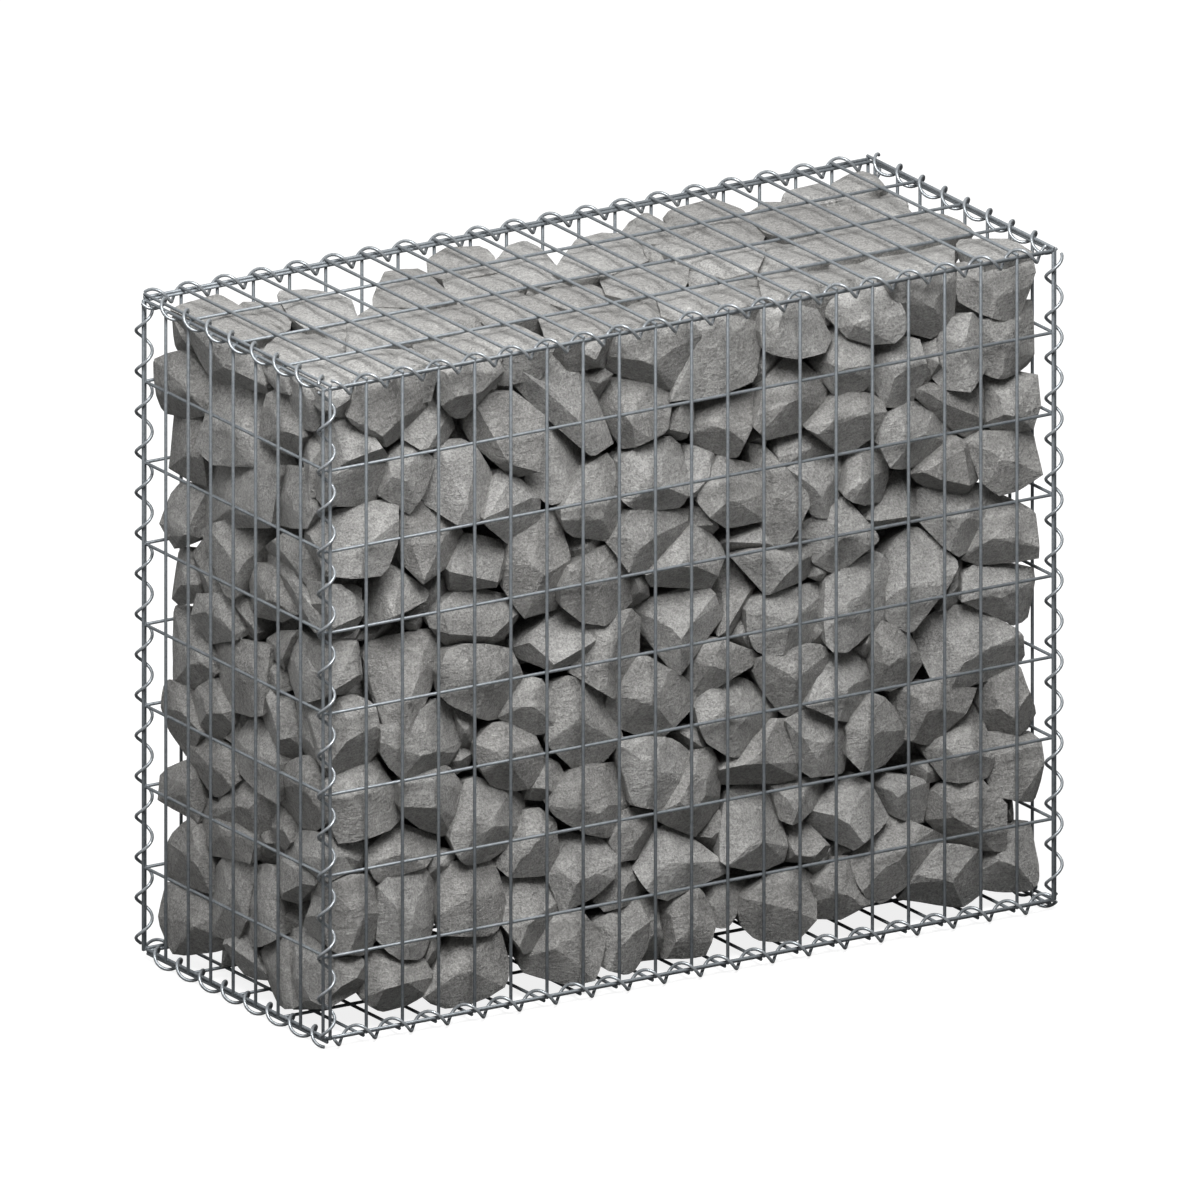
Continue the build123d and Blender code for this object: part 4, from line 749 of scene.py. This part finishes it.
# Top: from the left wire, and back from the front wire.
TOP_STONES = """
1|-.5,34 1.5,35 5,35.6 7.3,36.3 7.4,35 6.5,30.5 6.2,28.5 6.5,24 6.4,20 3,19.5 0,19|5.2,34 1,33 6,29 4.5,20.5
 0,21
1.2|6.3,29.4 7,31 8.3,32 10,31 12,29 13,28 10,25 7.5,20.5 6.6,20 6.4,24|8.4,31 9.5,27 7,21.5
1|12.2,29.7 13,32 14.2,33.3 15,33 17,32.2 18,31 19.2,28.8 19.4,26 17,21.5 16.3,19.5 12,19 9,19 10,24.5
 12.6,28|14.3,32 17,31 18.6,27 15.8,20 12.6,26 10.6,20.5 14,27
1|14.5,18.8 16.4,19.2 18.4,21 20.2,22.5 24.8,22.5 25,17 24.5,9.2 16,9 8.3,9.2 10.4,12 12.8,15.2|19,20
 24.2,21 23.6,10 16,10.4 10.6,10.4 14.6,16
1|20.3,22.5 22,25.2 24.6,28.4 26,30 28.5,33 30.5,32.8 32.4,32 32.3,29.5 31.5,27 30.3,22 29.8,19 25,19
 24.8,22.6|25,28 28.8,31.6 31.6,31 31,26 29.6,20 25.3,21
1|32.2,29.4 33.5,31.5 35,34 37,35.6 39.5,37 41,36.5 43,35.5 43.1,34 42.3,31 41,29 39.6,26 35,26
 33,26|35.3,33.6 39.8,36 42.5,34.4 41,29.6 36,28
1|30.2,21.5 31.5,24.5 33,27.5 35,28 39.5,28 40,24 40,19 36,18 30.8,18|34.8,26.5 39,27 39,19 33,19.5
1|40,28 43,31 45,32.8 46,33.8 48.7,34.4 48.8,31 47.5,27.8 46,24.5 45.2,22.8 44.8,18 40.2,18|45.3,32 48,33
 46.5,27 44.2,19 41,20 41,27
1|45.3,22.8 47,24 50,25.4 50.5,27 52.5,29.6 54,31.5 55.5,31.9 58,32.3 59.5,31 60,29 59.5,26 58,22 57,20.3
 55,20 50,18 45,18|46,22.5 50,25 54.5,30.5 57.6,31 58.6,26 56,20.8 50,19.5 52,25
1.2|60,31 63,34 65.4,35.5 66.6,36.3 66.4,33 65.6,29 66,27 65,25.5 64,24.2 60.5,25.5|62,32.4 65.8,35 65,29
 61,27
1|65.5,28 67,33 69.5,35.5 75,36.2 76,36.5 76.2,35 76.6,31 75.8,29 75,26.5 74.2,22 72,19 65,19 64.6,24.5
 66,27.4|69.8,34.5 75,35 75.8,31 74,23 70,20 66,21 67.5,27.5
1|60.2,25.6 62,25 64.4,24.2 64.8,19 60,19|61,24.4 64,23 63.8,19.6 60.8,19.6
1.6|57,20.3 59.6,25.8 60.4,27 60,19|
1|75.9,29 77,29.5 79,31 80.5,32 82,31 83,29.5 85,28 85,25 87.5,21 89,19.2 75,19 74.4,22.5|80.4,31 82.5,28.5
 85,24.4 87.6,19.8 77,20 76.5,27
1|82,31 83,31.8 84,33.5 85,34.3 90,34.8 90.2,33 90,28 85,28|85.4,33.4 89.6,33.8 89.4,28.6 83.4,30.4
1|90.3,33 91,34 95,36 96.4,36 96.8,34 96,31 95.2,28.5 90.2,28|91,33 95.6,35 96,32.4 94.6,29
1.4|85.2,25 85.4,28 94.8,28.2 94.6,26 93.6,22 93,19.8 89.5,19.3 87.8,21|86.2,27 94,27.4 92.6,21 90,20
1|75,19 80,18.8 93,19 94.5,19.2 95.7,17 96,14 95.6,11 95,9 86,9 84.5,11 82,9.5 78,9 75,9|75.6,18 94.4,18
 95.4,14 94.6,10 86.5,10 78,10 88.5,15.5 83,14
1|60,19 65,18.8 72,19 71,17 69.4,14.6 66.3,11 64,10.2 61,9.6 60.8,12 60,15.5|60.8,18 70.6,18 65.6,11.6
 61.8,11.5 63.5,14
1|55,19 60,19 60,16 58.5,14 56.5,11 55.2,9.5 50,9 47,9 46,12 47,13.5 49,18.5|50,17.5 59,18.4 57.8,14
 55.2,10.5 48,10.5 52,13
1|66.4,11.4 69.6,14.8 72.2,18.8 75,18.8 75,9 69,9 65.4,9.6|72.6,17.6 74.4,17.4 74,10 67.2,10.4 70,14
1.8|56,9.5 58.6,14 60.5,15.2 61,12 61.2,10 60.4,9|
1|0,14.5 2,16.5 4.5,18.6 9.5,18.6 9.5,13 8,9.2 0,9|4.6,17.6 9,17.6 7.8,10 .5,10 2.6,14
1.4|8.4,9.4 10,12 13.5,17.3 14.5,18.6 9.8,18.8 9.6,14|
1|25,18.8 29.9,18.6 29.8,14.5 28.5,11 27,9.2 24.8,9|25.6,17.8 29,17.8 28.4,12 26.8,10
1|30,18.6 37.4,18.6 37.6,15 38.5,13.4 39,9.2 30,9 27.6,9 28.8,11 30,14.6|30.8,17.6 36.8,17.6 37,15 38.2,10
 30,10
1|37.8,16.4 39.4,18.6 45,18.7 46.4,18.6 46,15 46.6,13.5 45.6,11.6 45.5,9 39.2,9 38.4,13.6|40,17.6 45.2,17.6
 45,13 44.6,10 40,10
2|46.2,15.5 47.4,18.4 49,18.6 48,15 46.8,13.7|
1|-.5,8.8 3.4,8.8 3.4,7 3.6,1 3.5,-1 -.5,-1|0,7 3,7 3.2,0 0,0
1.2|3.6,8.8 9.6,8.8 13,8 14.5,6.7 12.2,5.8 10.3,2.5 9.8,-1 3.8,-1 3.6,3|4.4,7.6 8.6,8 12.5,7 9.4,3 9.2,0
 4.6,0
1|10,0 10.4,3 12.3,5.8 15.9,6.7 15.2,3 14.8,-1 10,-1|11,1.5 12.8,5 15,5.6 14.4,0
1.3|15.4,3 16,6.6 17.4,8.8 20,8.6 20,6 20.2,-1 15.4,-1|16.4,6 17.8,7.6 19.4,6 19.4,0 16,0
1|20.2,6.2 22,6 23.2,5.6 23.5,1 23.6,-1 20.3,-1|
1.3|20,8.8 30.5,8.8 31,6 30.3,4.6 30.3,1 31,-1 24,-1 23.6,3 23.4,5.6 20.4,6.4|21.4,8 29.6,8 29.6,1 24.6,0
 24.4,5.8
1|31.3,2 33,5 34.3,8 35,8.8 40,8.8 44.5,8.8 47,8 43,5 42,3.6 39.5,1 38,-1 31.8,-1|32.4,2 35.2,7.6 43.5,7.8
 39,2.4 37.6,0 33,0
1|39.8,1.2 42,3.4 45,6.2 48.6,8.8 50,8.6 49,5 47,1.8 46,-1 40.5,-1|41.2,1.4 45,5 48.6,7.2 46,2 44.6,0
1|47.2,1.6 49.2,5 50.5,8 51,8.8 59.4,8.8 57,5 55,3 52,1 51,-1 47.6,-1|48.6,2 51.4,7.6 57.6,7.8 54.5,3.6
 51,.6
1.2|52,1 55,3.2 57.6,5 60,8.8 64.6,8.6 63.5,6 61.6,3 60.5,-.5 51.6,-1|54,1 58.6,4.6 60.8,7.6 63.2,7.4 60,0
1|61.2,1.6 63.4,5.6 65,8.8 74.8,8.6 75,6 78,5.6 77,2 76.4,-1 70,-1 67,-1 61,-1|62.4,1.4 66,7.6 74,7.6 77,5.4
 75.6,0 71,1.4 63,0
1.4|76.5,7 78.2,5.8 78,3 76.6,-1 81,-1 81,2 84,2.7 85.5,2 86.3,-.5 87.6,2 89.8,5 90,8.8 79,8|79,6.6 89,7.6
 89,3 83,3.6 80.4,.6 78.6,0
1|90.2,5 91.2,6.6 92.4,7.8 93.6,7.4 97.4,5 97.4,3 97,-1 90.2,-1|91,5 92.5,7 96.6,4.6 96.4,0 91,0
"""

# Each side's way in, how steep its stones' faces are, their lean, and in metres how deep their
# outlines may lie and how thick the stones are behind them
WALLS = {
    "front": (Y, 1.0, 0.38, 0.055, 0.05),
    "left": (X, 0.75, 0.26, 0.045, 0.05),
    "top": (-Z, 0.38, 0.09, 0.025, 0.045),
}

# The room for stones, clear of the ends, the front and back, the base and the lid
LOW = Vector((0.0045 - HALF, 0.0035 - DEEP, BASE + BAR + 0.0025))
HIGH = Vector((HALF - 0.0045, DEEP - 0.0035, LID - BAR - 0.0035))

# How a stone breaks. Lengths are in centimetres on the mesh's plane.
BROAD = 0.42          # share of the outline's area above which a main face is broken up
BROKEN = (0.2, 0.55)  # how near each other its corners then are, as a share of their distance
BROKEN_SHIFT = 0.9
LEAN_BACK = (0.25, 1.5)  # how a main face leans, as shares of the lean of its side of the wall
LEAN_ASIDE = (-0.9, 1.1)
UNSQUARE = 15         # degrees by which a side face turns where the corners don't say
FALL = 2.1            # how far a side face falls back on its way to the outline
UNDERCUT = 1.2        # how much more it falls where it looks down, and less where it looks up
FALL_VARIES = (0.75, 1.3)
GENTLEST = 0.12       # slopes of the side faces
STEEPEST = 2.4
LEAST_ROOM = 0.1
RAISED = (0.05, 0.3)  # how far the inner corners stand out of the main face
NEAREST = -0.4        # how far a corner may stand out before the depth given
GROWTH = 0.15         # how far a stone reaches past its outline, under its neighbours
LONG_EDGE = 2.5       # an outline's edge over this length bends in the middle
BACK_SHARE = 0.72     # size of a stone's back against its outline

# How its surface is made, in metres
SAME_POINT = 0.0025   # corners nearer than this are one
FLAT = math.radians(4)
CHIP = (0.002, 0.007)  # how far a chip reaches along the edges
CHIP_VARIES = (0.7, 1.3)
MOST_CHIP = 0.34      # the most of an edge that a chip takes
LONGEST = 1.35        # an edge is halved if it is longer than this many times the fineness
HALVINGS = 5
SWELLS = ((38, 0.0007), (95, 0.0004))  # waves to a metre, and their height


def at(wall, a, b):
    """A point of the mesh's plane, from centimetres."""
    a, b = a / 100, b / 100
    if wall == "front":
        return Vector((a - HALF, FRONT, FOOT + b))
    if wall == "left":
        return Vector((END, a - DEEP, FOOT + b))
    return Vector((a - HALF, b - DEEP, LID))


def pushed(point, inward, depth):
    """The point moved away from the camera, along the line of sight, and kept in the basket."""
    t = depth / SIGHT.dot(inward)
    near = max((LOW.x - point.x) / SIGHT.x, (LOW.y - point.y) / SIGHT.y, (HIGH.z - point.z) / SIGHT.z)
    far = min((HIGH.x - point.x) / SIGHT.x, (HIGH.y - point.y) / SIGHT.y, (LOW.z - point.z) / SIGHT.z)
    return point + SIGHT * min(max(t, near), far)


def kept(point):
    return Vector([min(max(c, lo), hi) for c, lo, hi in zip(point, LOW, HIGH)])


def pairs(text):
    return [tuple(map(float, pair.split(","))) for pair in text.split()]


def hull(points):
    """The convex hull of the points, with nearly flat faces joined."""
    bm = bmesh.new()
    for point in points:
        bm.verts.new(point)
    bmesh.ops.remove_doubles(bm, verts=bm.verts, dist=SAME_POINT)
    made = bmesh.ops.convex_hull(bm, input=bm.verts)
    spare = [v for v in made["geom_interior"] + made["geom_unused"] if isinstance(v, bmesh.types.BMVert)]
    bmesh.ops.delete(bm, geom=list(set(spare)), context="VERTS")
    bmesh.ops.dissolve_limit(bm, angle_limit=FLAT, verts=bm.verts, edges=bm.edges)
    return bm


def chipped(bm, share, chance):
    """The hull's corners, a share of them replaced by a short way along each of their edges."""
    points = []
    for vert in bm.verts:
        if chance.random() > share:
            points.append(vert.co.copy())
            continue
        cut = chance.uniform(*CHIP)
        for side in vert.link_edges:
            way = side.other_vert(vert).co - vert.co
            points.append(vert.co + way * min(MOST_CHIP, cut * chance.uniform(*CHIP_VARIES) / way.length))
    bm.free()
    return points


def block(points, seed, fine=0.0095, chips=0.3):
    """One broken stone: the hull of the points, with chipped corners and slightly uneven faces."""
    bm = hull(chipped(hull(points), chips, random.Random(seed)))
    plane = bm.faces.layers.int.new("plane")
    for i, face in enumerate(bm.faces):
        face[plane] = i + 1
    bmesh.ops.triangulate(bm, faces=bm.faces)
    for _ in range(HALVINGS):
        long = [e for e in bm.edges if e.calc_length() > fine * LONGEST]
        if not long:
            break
        bmesh.ops.subdivide_edges(bm, edges=long, cuts=1, use_single_edge=True)
        bmesh.ops.triangulate(bm, faces=bm.faces)
    bm.normal_update()
    shift = Vector((seed * 1.7, seed * 0.9, seed * 2.3))
    moves = []
    for vert in bm.verts:
        swell = sum(noise.noise((vert.co + shift) * waves) * height for waves, height in SWELLS)
        moves.append(vert.co + vert.normal * swell)
    for vert, place in zip(bm.verts, moves):
        vert.co = kept(place)
    return bm


def ends_of(points):
    """The outer ones of some points of a plane, in order round them."""
    return [points[i] for i in geometry.convex_hull_2d([Vector(p) for p in points])]


def area(points):
    ring = ends_of(points)
    return abs(sum(a * d - c * b for (a, b), (c, d) in zip(ring, ring[1:] + ring[:1]))) / 2


def broken_up(corners, middle, chance):
    """Fewer corners, nearer each other, so that a broad flat face becomes a few larger ones."""
    share = chance.uniform(*BROKEN)
    focus = [m + chance.uniform(-BROKEN_SHIFT, BROKEN_SHIFT) for m in middle]
    return [tuple(f + (x - f) * share for x, f in zip(corner, focus)) for corner in corners[::2]]


def ways_out(corners, chance):
    """The angles that the side faces look to, square to the edges round the inner corners."""
    ends = ends_of(corners)
    if len(corners) >= 3 and len(ends) >= 3:
        return [math.atan2(a - c, d - b) for (a, b), (c, d) in zip(ends, ends[1:] + ends[:1])]
    first = math.radians(chance.uniform(0, 360))
    if len(corners) > 1:
        first = math.atan2(corners[-1][0] - corners[0][0], corners[0][1] - corners[-1][1])
    return [first + math.radians(90 * i + chance.uniform(-UNSQUARE, UNSQUARE)) for i in range(4)]


def side_faces(corners, rim, steep, chance):
    """Each side face as the cosine and sine of its angle, where it starts and how fast it falls back."""
    faces = []
    for way in ways_out(corners, chance):
        c, s = math.cos(way), math.sin(way)
        reach = max(a * c + b * s for a, b in corners)
        room = max(a * c + b * s for a, b in rim) - reach
        drop = (FALL - UNDERCUT * s) * chance.uniform(*FALL_VARIES)
        slope = min(max(drop / max(room, LEAST_ROOM), GENTLEST), STEEPEST)
        faces.append((c, s, reach, steep * slope))
    return faces


def wall_stone(wall, line, seed):
    """A stone with a main face that leans back, and steeper broken faces round its inner corners."""
    chance = random.Random(seed)
    inward, steep, lean, deepest, thick = WALLS[wall]
    depth, outline, inner = line.split("|")
    rim = pairs(outline)
    middle = tuple(sum(p[i] for p in rim) / len(rim) for i in (0, 1))
    corners = pairs(inner) or [middle]
    if area(corners) > BROAD * area(rim):
        corners = broken_up(corners, middle, chance)
    low = min(b for a, b in corners)
    upward = lean * chance.uniform(*LEAN_BACK)
    sideways = lean * chance.uniform(*LEAN_ASIDE)
    faces = side_faces(corners, rim, steep, chance)

    def place(a, b, outward=0.0, uneven=0.0):
        fall = max(0.0, *(slope * (a * c + b * s - reach) for c, s, reach, slope in faces))
        behind = max(NEAREST, (b - low) * upward + (a - middle[0]) * sideways + fall + uneven) / 100
        away = math.hypot(a - middle[0], b - middle[1]) or 1.0
        a, b = (m + (x - m) * (1 + outward / away) for x, m in ((a, middle[0]), (b, middle[1])))
        return pushed(at(wall, a, b), inward, float(depth) / 100 + min(behind, deepest))

    ring = []
    for (a, b), (c, d) in zip(rim, rim[1:] + rim[:1]):
        ring.append(place(a, b, GROWTH))
        if math.hypot(c - a, d - b) > LONG_EDGE:
            ring.append(place((a + c) / 2, (b + d) / 2, GROWTH))
    centre = sum(ring, Vector()) / len(ring)
    points = [place(a, b, uneven=-chance.uniform(*RAISED) * steep) for a, b in corners] + ring
    points += [kept(centre + (p - centre) * BACK_SHARE + inward * thick) for p in ring]
    return block(points, seed)


def wall_stones(wall, table, seed):
    lines = table.replace("\n ", " ").split("\n")[1:-1]
    return [wall_stone(wall, line, seed + i) for i, line in enumerate(lines)]


def turned(parts):
    """Copies turned half round the basket's middle, for the sides that the photograph doesn't show."""
    half = Matrix.Rotation(math.pi, 4, "Z")
    copies = []
    for part in parts:
        copy = part.copy()
        bmesh.ops.transform(copy, matrix=half, verts=copy.verts)
        copies.append(copy)
    return copies


def middle_of(bm):
    return sum((v.co for v in bm.verts), Vector()) / len(bm.verts)


def core_stones():
    """Plain stones in rows through the middle, which show only through gaps between the others."""
    chance = random.Random(11)
    counts = (8, 2, 6)
    first = (-0.405, -0.060, FOOT + 0.075)
    step = (0.112, 0.106, 0.118)
    size = (0.064, 0.060, 0.064)
    astray = 0.008
    corners = 15
    stones = []
    for cell in product(*map(range, counts)):
        centre = Vector([f + s * n for f, s, n in zip(first, step, cell)])
        centre += Vector([chance.uniform(-astray, astray) for _ in range(3)])
        points = []
        for _ in range(corners):
            way = Vector([chance.gauss(0, 1) for _ in range(3)]).normalized()
            way *= chance.uniform(0.95, 1.12) / max(abs(c) / s for c, s in zip(way, size))
            points.append(centre + way)
        stones.append(block(points, 900 + len(stones), fine=0.03, chips=0))
    return stones


front = wall_stones("front", FRONT_STONES, 0)
left = wall_stones("left", LEFT_STONES, 300)
top = wall_stones("top", TOP_STONES, 600)
# Turned stones are left out where they would run into those of the left end, the front and the top
BACK_LENGTH, BACK_HEIGHT = 0.38, 0.70
RIGHT_DEPTH, RIGHT_HEIGHT = 0.09, 0.76
back = turned([s for s in front if middle_of(s).x < BACK_LENGTH and middle_of(s).z < FOOT + BACK_HEIGHT])
right = turned([s for s in left if middle_of(s).y < RIGHT_DEPTH and middle_of(s).z < FOOT + RIGHT_HEIGHT])
halfway = FOOT + 0.4
stone_piece("stones_front_low", [s for s in front if middle_of(s).z < halfway], "stone_lift_1")
stone_piece("stones_front_high", [s for s in front if middle_of(s).z >= halfway], "stone_lift_2")
stone_piece("stones_left_end", left)
stone_piece("stones_top", top, "stone_lift_3")
stone_piece("stones_back", back)
stone_piece("stones_right_end", right)
stone_piece("stones_inside", core_stones())


def seen_rays(tree, *others):
    """1 for what the camera sees and for the other kinds of ray named, and 0 for the rest."""
    path = add(tree, "ShaderNodeLightPath")
    total = path.outputs["Is Camera Ray"]
    for name in others:
        most = add(tree, "ShaderNodeMath", operation="MAXIMUM")
        tree.links.new(total, most.inputs[0])
        tree.links.new(path.outputs[name], most.inputs[1])
        total = most.outputs[0]
    return total


def floor_material():
    """A white sweep, which still shows the object's shadow."""
    mat, tree, plain = material("floor", (0.1, 0.1, 0.1), 0.95)
    link = tree.links.new
    shadow = add(tree, "ShaderNodeBsdfDiffuse", Color=(0.26, 0.26, 0.26, 1))
    glow = add(tree, "ShaderNodeEmission", Strength=0.85, Color=(1, 1, 1, 1))
    both = add(tree, "ShaderNodeAddShader")
    pick = add(tree, "ShaderNodeMixShader")
    link(shadow.outputs[0], both.inputs[0])
    link(glow.outputs[0], both.inputs[1])
    link(seen_rays(tree, "Is Transmission Ray"), pick.inputs[0])
    link(plain.outputs[0], pick.inputs[1])
    link(both.outputs[0], pick.inputs[2])
    link(pick.outputs[0], tree.nodes["Material Output"].inputs["Surface"])
    return mat


def lay_floor(reach):
    mesh = bpy.data.meshes.new("floor")
    corners = [(-reach, -reach, 0), (reach, -reach, 0), (reach, reach, 0), (-reach, reach, 0)]
    mesh.from_pydata(corners, [], [(0, 1, 2, 3)])
    mesh.materials.append(floor_material())
    floor = bpy.data.objects.new("floor", mesh)
    bpy.context.scene.collection.objects.link(floor)


def soft_world():
    """Soft light from above and behind, in a room that is dim before the wall, and white to the camera."""
    world = bpy.data.worlds.new("studio")
    bpy.context.scene.world = world
    world.use_nodes = True
    tree = world.node_tree
    tree.nodes.clear()
    link = tree.links.new
    coords = add(tree, "ShaderNodeTexCoord")
    toward = add(tree, "ShaderNodeVectorMath", operation="DOT_PRODUCT")
    toward.inputs[1].default_value = (-0.1, 0.45, 0.88)
    spread = add(tree, "ShaderNodeMapRange")
    for name, value in (("From Min", -0.1), ("From Max", 0.75), ("To Min", 0.06), ("To Max", 0.80)):
        spread.inputs[name].default_value = value
    soft = add(tree, "ShaderNodeBackground", Color=(1, 1, 1, 1))
    white = add(tree, "ShaderNodeBackground", Strength=1.0, Color=(1, 1, 1, 1))
    pick = add(tree, "ShaderNodeMixShader")
    out = add(tree, "ShaderNodeOutputWorld")
    link(coords.outputs["Generated"], toward.inputs[0])
    link(toward.outputs["Value"], spread.inputs["Value"])
    link(spread.outputs["Result"], soft.inputs["Strength"])
    link(seen_rays(tree, "Is Transmission Ray"), pick.inputs[0])
    link(soft.outputs[0], pick.inputs[1])
    link(white.outputs[0], pick.inputs[2])
    link(pick.outputs[0], out.inputs["Surface"])


def lamp(name, place, target, size, power):
    data = bpy.data.lights.new(name, "AREA")
    data.shape = "SQUARE"
    data.size = size
    data.energy = power
    obj = bpy.data.objects.new(name, data)
    obj.location = place
    obj.rotation_euler = (Vector(target) - Vector(place)).to_track_quat("-Z", "Y").to_euler()
    bpy.context.scene.collection.objects.link(obj)


def parallel_camera(target, width, distance):
    """A camera that sees this width round the target, in the photograph's directions."""
    data = bpy.data.cameras.new("camera")
    data.type = "ORTHO"
    data.ortho_scale = width
    data.clip_end = 50
    camera = bpy.data.objects.new("camera", data)
    place = target - SIGHT * distance
    camera.matrix_world = Matrix((
        (RIGHT.x, UP.x, -SIGHT.x, place.x),
        (RIGHT.y, UP.y, -SIGHT.y, place.y),
        (RIGHT.z, UP.z, -SIGHT.z, place.z),
        (0, 0, 0, 1),
    ))
    bpy.context.scene.collection.objects.link(camera)
    bpy.context.scene.camera = camera


lay_floor(reach=8)
soft_world()
lamp("key", place=(-1.45, -2.4, 4.35), target=(0, 0, 0.4), size=2.6, power=372)

# The photograph is 1200 pixels wide, and a metre across it measures 851.3
PHOTO_WIDTH = 1200
METRE = 851.3
# Its middle lies this far right of the basket's front left top corner, and this far below it
MIDDLE_RIGHT = 0.31704
MIDDLE_DOWN = 0.24586
corner = Vector((-HALF, FRONT, TALL))
middle = corner + RIGHT * MIDDLE_RIGHT - UP * MIDDLE_DOWN
parallel_camera(middle, width=PHOTO_WIDTH / METRE, distance=6)
bpy.context.scene.view_settings.view_transform = "Standard"
